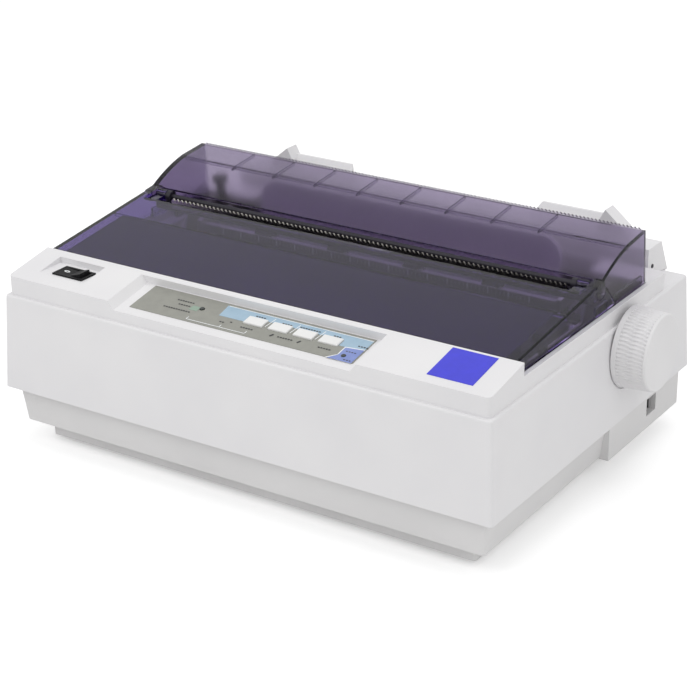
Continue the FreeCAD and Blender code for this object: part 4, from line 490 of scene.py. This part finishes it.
def ink_stroke(x, y, length, width, turn, rounding_steps):
    """A bar with rounded corners, drawn flat about its middle: turn in degrees"""
    bpy.ops.object.select_all(action="DESELECT")
    bpy.ops.mesh.primitive_plane_add(size=1.0, location=(x, y, 0))
    stroke = bpy.context.object
    stroke.rotation_euler.z = math.radians(turn)
    stroke.scale = (length, width, 1)
    bpy.ops.object.transform_apply(location=True, rotation=True, scale=True)
    bpy.ops.object.mode_set(mode="EDIT")
    bpy.ops.mesh.bevel(offset=width * stroke_round, segments=rounding_steps, affect="VERTICES")
    thicken()
    bpy.ops.object.mode_set(mode="OBJECT")
    return stroke


def film_strokes(strokes):
    """One object of bars on the film: each is x, y, length, width and turn"""
    return join([ink_stroke(x, along_deck(y), length, width, turn, 2)
                 for x, y, length, width, turn in strokes])


print("ink, mm:", ink)

# %% Zones of the film
button_xs = (2.2, 19.4, 36.6, 53.8)
button_y = 25.4
button_half = (6.5, 3.7)
button_gap = 0.35
zone_back_y = 35.2
zone_front_y = 24.2
zone_left_x = (-22.6, -23.6)
film_right_x = 76.9
film_front_y = 11.2


def flat(*points):
    """Places on the film, seen from above, as points of the flat drawing"""
    return [(x, along_deck(y)) for x, y in points]


window_half = [half + button_gap for half in button_half]
window_ys = [along_deck(button_y - window_half[1]), along_deck(button_y + window_half[1])]
windows = [(x - window_half[0], x + window_half[0], *window_ys) for x in button_xs]
blue_zone = ink_zone(flat((zone_left_x[0], zone_front_y), (film_right_x, zone_front_y),
                          (film_right_x, zone_back_y), (zone_left_x[1], zone_back_y)), windows)
lay_on_film(blue_zone)
finish_piece(blue_zone, "film_blue_zone", label_blue, "base")

violet_left_x = 65.4
violet_back_y = (23.6, 25.0)
violet_tip_x = 61.0
notch_y = 16.0
rim = 0.7
violet_lift = 1.5 * ink
violet_parts = {
    "film_violet_rim": (white_ink_and_painted_highlight, ink, rim),
    "film_violet_zone": (label_violet, violet_lift, 0.0),
}
for name, (material, lift, rim_here) in violet_parts.items():
    left_x = violet_left_x - rim_here
    left_back_y, right_back_y = [y + rim_here for y in violet_back_y]
    zone = ink_zone(flat((left_x, film_front_y), (film_right_x, film_front_y),
                         (film_right_x, right_back_y), (left_x, left_back_y)))
    lay_on_film(zone, lift)
    finish_piece(zone, name, material, "base")
    tail = ink_zone(flat((violet_tip_x - 2 * rim_here, film_front_y), (violet_left_x, film_front_y),
                         (violet_left_x, notch_y + rim_here)))
    lay_on_film(tail, lift)
    finish_piece(tail, name + "_tail", material, "base")

patch_left_x = (-43.6, -43.2)
patch_right_x = -37.9
patch_y = (22.8, 27.2)
green_patch = ink_zone(flat((patch_left_x[0], patch_y[0]), (patch_right_x, patch_y[0]),
                            (patch_right_x, patch_y[1]), (patch_left_x[1], patch_y[1])))
lay_on_film(green_patch)
finish_piece(green_patch, "film_green_patch", label_green, "base")
print("windows for the buttons:", len(windows))

# %% Rules and plain bars
rule_w = 0.5
divider_xs = (10.8, 28.0, 45.2)
divider_y = 28.7
divider_length = 9.6
divider_turn = 82.0
bracket_w = 0.45
bracket_y = 13.6
bracket_ends = (-38.4, -15.0, 3.0)
bracket_end_length = 2.6
bracket_end_rise = 1.2
bracket_end_turn = 86.0
top_rule_inset = 0.3

rules = [(x, divider_y, divider_length, rule_w, divider_turn) for x in divider_xs]
rules.append(((bracket_ends[0] + bracket_ends[2]) / 2, bracket_y, bracket_ends[2] - bracket_ends[0],
              bracket_w, 0.0))
rules += [(x, bracket_y + bracket_end_rise, bracket_end_length, bracket_w, bracket_end_turn)
          for x in bracket_ends]
rules.append(((zone_left_x[0] + film_right_x) / 2, zone_back_y - top_rule_inset,
              film_right_x - zone_left_x[0], rule_w, 0.0))
white_rules = film_strokes(rules)
lay_on_film(white_rules, ink)
finish_piece(white_rules, "film_white_rules", white_ink_and_painted_highlight, "base")

bar_starts = [(-55.6, 29.2, 7), (-52.2, 25.4, 5), (-59.4, 20.2, 11), (-17.6, 18.8, 2), (-11.2, 20.6, 1),
              (-2.6, 18.6, 5), (23.4, 18.2, 6), (51.0, 18.2, 5), (-0.6, 31.6, 4), (18.2, 31.0, 4),
              (30.2, 31.6, 8), (53.2, 31.3, 3), (71.8, 27.6, 4), (68.2, 20.6, 4), (71.4, 12.9, 3)]
bar_length = 1.3
bar_w = 0.85
bar_pitch = 1.8
slant_places = [(18.8, 18.2), (37.4, 18.4)]
slant_length = 2.8
slant_w = 1.0
slant_turn = 62.0
bars_lift = 1.7 * ink

bars = [(x + k * bar_pitch, y, bar_length, bar_w, 0.0) for x, y, count in bar_starts for k in range(count)]
slanted = [(x, y, slant_length, slant_w, slant_turn) for x, y in slant_places]
dark_bars = film_strokes(bars + slanted)
lay_on_film(dark_bars, bars_lift)
finish_piece(dark_bars, "film_plain_bars", label_dark, "base")
print("bars:", len(bars) + len(slanted))

# %% [markdown]
# ## Column scale, painted highlight on the rocker, and pin
#
# The bail carries a scale with white strokes, which the photograph shows through the cover's rear
# edge. The rocker gets a painted highlight, a small pale oval on its raised half, and the sheet guide
# is pinned at its right end. The strokes are made like the film's, upright on the scale's front. The
# painted highlight is a flat ring: a disc inset, opened and pulled up. The pin starts as a short
# cylinder, and its end face is inset and pushed in.

# %% Scale
scale_front_y = 149.4
scale_middle_z = 104.6
tick_half_count = 8
tick_pitch = 14.1
tick_first_shift = 0.4
tick_size = (0.9, 3.6)
small_tick_size = (0.4, 1.6)
small_per_tall = 5

ticks = []
small_pitch = tick_pitch / small_per_tall
for k in range(-tick_half_count * small_per_tall, tick_half_count * small_per_tall + 1):
    width, high = small_tick_size if k % small_per_tall else tick_size
    x = tick_first_shift + k * small_pitch
    ticks.append(ink_stroke(x, scale_middle_z, high, width, 90.0, 1))
scale_ink = join(ticks)
set_in_frame(scale_ink, 0, scale_front_y + ink_sunk, 0, Matrix.Rotation(math.pi / 2, 4, "X"))
finish_piece(scale_ink, "bail_scale_strokes", white_ink_and_painted_highlight, "bail")
print("strokes on the scale:", len(ticks))

# %% Rocker painted highlight
rocker_highlight_place = (-136.8, 24.0, 114.19)
rocker_highlight_tilt = math.radians(3.67)
rocker_highlight_r = 2.0
rocker_highlight_oval_share = 0.62
rocker_highlight_line = 0.75

# Painted highlight: a pale oval ring on the rocker's raised half, where the glossy black rocker catches the
# light.
bpy.ops.object.select_all(action="DESELECT")
bpy.ops.mesh.primitive_circle_add(vertices=32, radius=rocker_highlight_r, fill_type="NGON")
rocker_painted_highlight = bpy.context.object
rocker_painted_highlight.scale = (1, rocker_highlight_oval_share, 1)
bpy.ops.object.transform_apply(location=True, rotation=True, scale=True)
bpy.ops.object.mode_set(mode="EDIT")
bpy.ops.mesh.select_all(action="SELECT")
bpy.ops.mesh.inset(thickness=rocker_highlight_line)
bpy.ops.mesh.delete(type="FACE")
thicken()
bpy.ops.object.mode_set(mode="OBJECT")
set_in_frame(rocker_painted_highlight, *rocker_highlight_place,
             Matrix.Rotation(rocker_highlight_tilt, 4, "Y") @ Matrix.Translation((0, 0, -ink_sunk)))
finish_piece(rocker_painted_highlight, "rocker_painted_highlight_oval", white_ink_and_painted_highlight, "rocker")
print("oval, mm:", 2 * rocker_highlight_r, "by", round(2 * rocker_highlight_r * rocker_highlight_oval_share, 2))

# %% Guide pin
pin_r = 1.3
pin_out = 0.5
pin_in = 1.5
pin_place = (154.0, 232.4, 108.0)
end_face_normal = 0.9

bpy.ops.object.select_all(action="DESELECT")
bpy.ops.mesh.primitive_cylinder_add(vertices=24, radius=pin_r, depth=pin_out + pin_in,
                                    location=(0, 0, (pin_out - pin_in) / 2))
guide_pin = bpy.context.object
bpy.ops.object.transform_apply(location=True, rotation=True, scale=True)
for face in guide_pin.data.polygons:
    face.select = face.center.z > pin_out / 2 and face.normal.z > end_face_normal
bpy.ops.object.mode_set(mode="EDIT")
bpy.ops.mesh.select_mode(type="FACE")
bpy.ops.mesh.inset(thickness=pin_r / 3)
bpy.ops.mesh.extrude_region_move(TRANSFORM_OT_translate={"value": (0, 0, -pin_out)})
bpy.ops.mesh.select_all(action="SELECT")
bpy.ops.mesh.normals_make_consistent(inside=False)
bpy.ops.object.mode_set(mode="OBJECT")
set_in_frame(guide_pin, *pin_place, Matrix.Rotation(math.pi / 2, 4, "Y"))
finish_piece(guide_pin, "sheet_guide_pin", dark_abs, "sheet_rest")
print("pin, mm:", 2 * pin_r)

# %% [markdown]
# ## Socket at the rear
#
# The wide socket for the computer's cable is a pressed steel shell round a tongue with two rows of
# eighteen gold-plated contacts, 2.16 mm apart. The shell is a tube: a cube with its two ends taken
# off, its corners rounded and a wall given by Solidify. The contacts are short strips with bevelled
# edges, one modelled and copied along both rows.

# %% Socket shell
shell_half = (29.9, 6.3)
shell_y = (238.4, 249.0)
shell_wall = 0.6
shell_corner_r = 1.6
socket_middle = (52.0, 26.0)

bpy.ops.object.select_all(action="DESELECT")
bpy.ops.mesh.primitive_cube_add(size=1.0, location=(socket_middle[0], sum(shell_y) / 2, socket_middle[1]))
shell = bpy.context.object
shell.scale = (2 * shell_half[0], shell_y[1] - shell_y[0], 2 * shell_half[1])
bpy.ops.object.transform_apply(location=True, rotation=True, scale=True)
for face in shell.data.polygons:
    face.select = abs(face.normal.y) > end_face_normal
bpy.ops.object.mode_set(mode="EDIT")
bpy.ops.mesh.select_mode(type="FACE")
bpy.ops.mesh.delete(type="FACE")
bpy.ops.object.mode_set(mode="OBJECT")
corners = shell.modifiers.new("corners", "BEVEL")
corners.width = shell_corner_r
corners.segments = 4
corners.limit_method = "ANGLE"
bpy.ops.object.modifier_apply(modifier=corners.name)
wall = shell.modifiers.new("wall", "SOLIDIFY")
wall.thickness = shell_wall
wall.offset = -1.0
bpy.ops.object.modifier_apply(modifier=wall.name)
set_in_frame(shell, 0, 0, 0, Matrix())
finish_piece(shell, "socket_steel_shell", plated_sheet, "base")
print("shell faces:", len(shell.data.polygons))

# %% Socket contacts
gold = metal("gold_plated_contact", "#D9B35A", "#C49C45", 0.3, grain_mm=(2.0, 2.0, 2.0))
contact_count = 18
contact_pitch = 2.16
contact_w = 1.1
contact_t = 0.25
contact_y = (239.4, 247.4)
tongue_half_h = 1.5

bpy.ops.object.select_all(action="DESELECT")
bpy.ops.mesh.primitive_cube_add(size=1.0, location=(0, sum(contact_y) / 2, tongue_half_h + contact_t / 2))
first = bpy.context.object
first.scale = (contact_w, contact_y[1] - contact_y[0], contact_t)
bpy.ops.object.transform_apply(location=True, rotation=True, scale=True)
bpy.ops.object.mode_set(mode="EDIT")
bpy.ops.mesh.select_all(action="SELECT")
bpy.ops.mesh.bevel(offset=contact_t / 3, segments=1)
bpy.ops.object.mode_set(mode="OBJECT")
row_start_x = socket_middle[0] - (contact_count - 1) / 2 * contact_pitch
lower_row = -(2 * tongue_half_h + contact_t)
contacts = []
for drop in (0, lower_row):
    for k in range(contact_count):
        contact = first.copy()
        contact.data = first.data.copy()
        bpy.context.scene.collection.objects.link(contact)
        set_in_frame(contact, row_start_x + k * contact_pitch, 0, socket_middle[1],
                     Matrix.Translation((0, 0, drop)))
        contacts.append(contact)
bpy.data.objects.remove(first)
finish_piece(join(contacts), "socket_contacts", gold, "base")
print("contacts:", 2 * contact_count)

# %% [markdown]
# ## Studio
#
# The photograph has a plain white surround and soft light from all over, a little more from the
# front left. The floor takes the printer's shadow, and glows a little for the camera alone. The
# world is white to the camera, in reflections and through the covers, which Light Path tells apart,
# while what lights the printer stays at a plain level.

# %% Studio
floor_half = 3.0
floor_glow = 0.36
lamp_aim = (0, 0, 0.05)


def studio_floor():
    """A white paper floor that shows nearly white and still takes a shadow"""
    bpy.ops.object.select_all(action="DESELECT")
    bpy.ops.mesh.primitive_plane_add(size=2 * floor_half, location=(0, 0, 0))
    floor = bpy.context.object
    floor.name = "studio_floor"
    material, tree, output = new_material("white_paper_sweep")
    path = add_node(tree, "ShaderNodeLightPath")
    shader = add_node(tree, "ShaderNodeBsdfDiffuse", Color=linear("#F4F4F4"))
    glow = add_node(tree, "ShaderNodeEmission", Color=linear("#FFFFFF"), Strength=floor_glow)
    mixed = add_node(tree, "ShaderNodeAddShader", i0=shader.outputs[0], i1=glow.outputs[0])
    chosen = add_node(tree, "ShaderNodeMixShader", i0=path.outputs["Is Camera Ray"], i1=shader.outputs[0],
                      i2=mixed.outputs[0])
    tree.links.new(chosen.outputs[0], output.inputs[0])
    floor.data.materials.append(material)


def studio_world(plain, shown):
    """A white world: plain is the light that it gives, shown is how bright it looks"""
    world = bpy.data.worlds.new("studio_world")
    bpy.context.scene.world = world
    world.use_nodes = True
    tree = world.node_tree
    tree.nodes.clear()
    output = tree.nodes.new("ShaderNodeOutputWorld")
    path = add_node(tree, "ShaderNodeLightPath")
    sight = add_node(tree, "ShaderNodeMath", {"operation": "MAXIMUM"}, i0=path.outputs["Is Camera Ray"],
                     i1=path.outputs["Is Glossy Ray"])
    clear = add_node(tree, "ShaderNodeMath", {"operation": "MAXIMUM"}, i0=sight.outputs[0],
                     i1=path.outputs["Is Transmission Ray"])
    dim = add_node(tree, "ShaderNodeBackground", Color=linear("#FFFFFF"), Strength=plain)
    white = add_node(tree, "ShaderNodeBackground", Color=linear("#FFFFFF"), Strength=shown)
    mixed = add_node(tree, "ShaderNodeMixShader", i0=clear.outputs[0], i1=dim.outputs[0], i2=white.outputs[0])
    tree.links.new(mixed.outputs[0], output.inputs[0])


def soft_lamp(name, at, size, power):
    """A square area lamp that looks at the printer: size in metres, power in watts"""
    data = bpy.data.lights.new(name, "AREA")
    data.size = size
    data.energy = power
    lamp = bpy.data.objects.new(name, data)
    bpy.context.scene.collection.objects.link(lamp)
    way = Vector(lamp_aim) - Vector(at)
    lamp.matrix_world = Matrix.Translation(at) @ way.to_track_quat("-Z", "Y").to_matrix().to_4x4()


studio_floor()
studio_world(plain=0.62, shown=1.0)
soft_lamp("key_lamp", (-0.9, -1.5, 1.6), size=1.2, power=10.6)
soft_lamp("top_lamp", (0.2, 0.3, 1.9), size=1.4, power=7.6)
soft_lamp("side_lamp", (1.7, -0.5, 1.3), size=1.2, power=4.6)
bpy.context.scene.view_settings.view_transform = "Standard"
print("lamps:", len(bpy.data.lights))
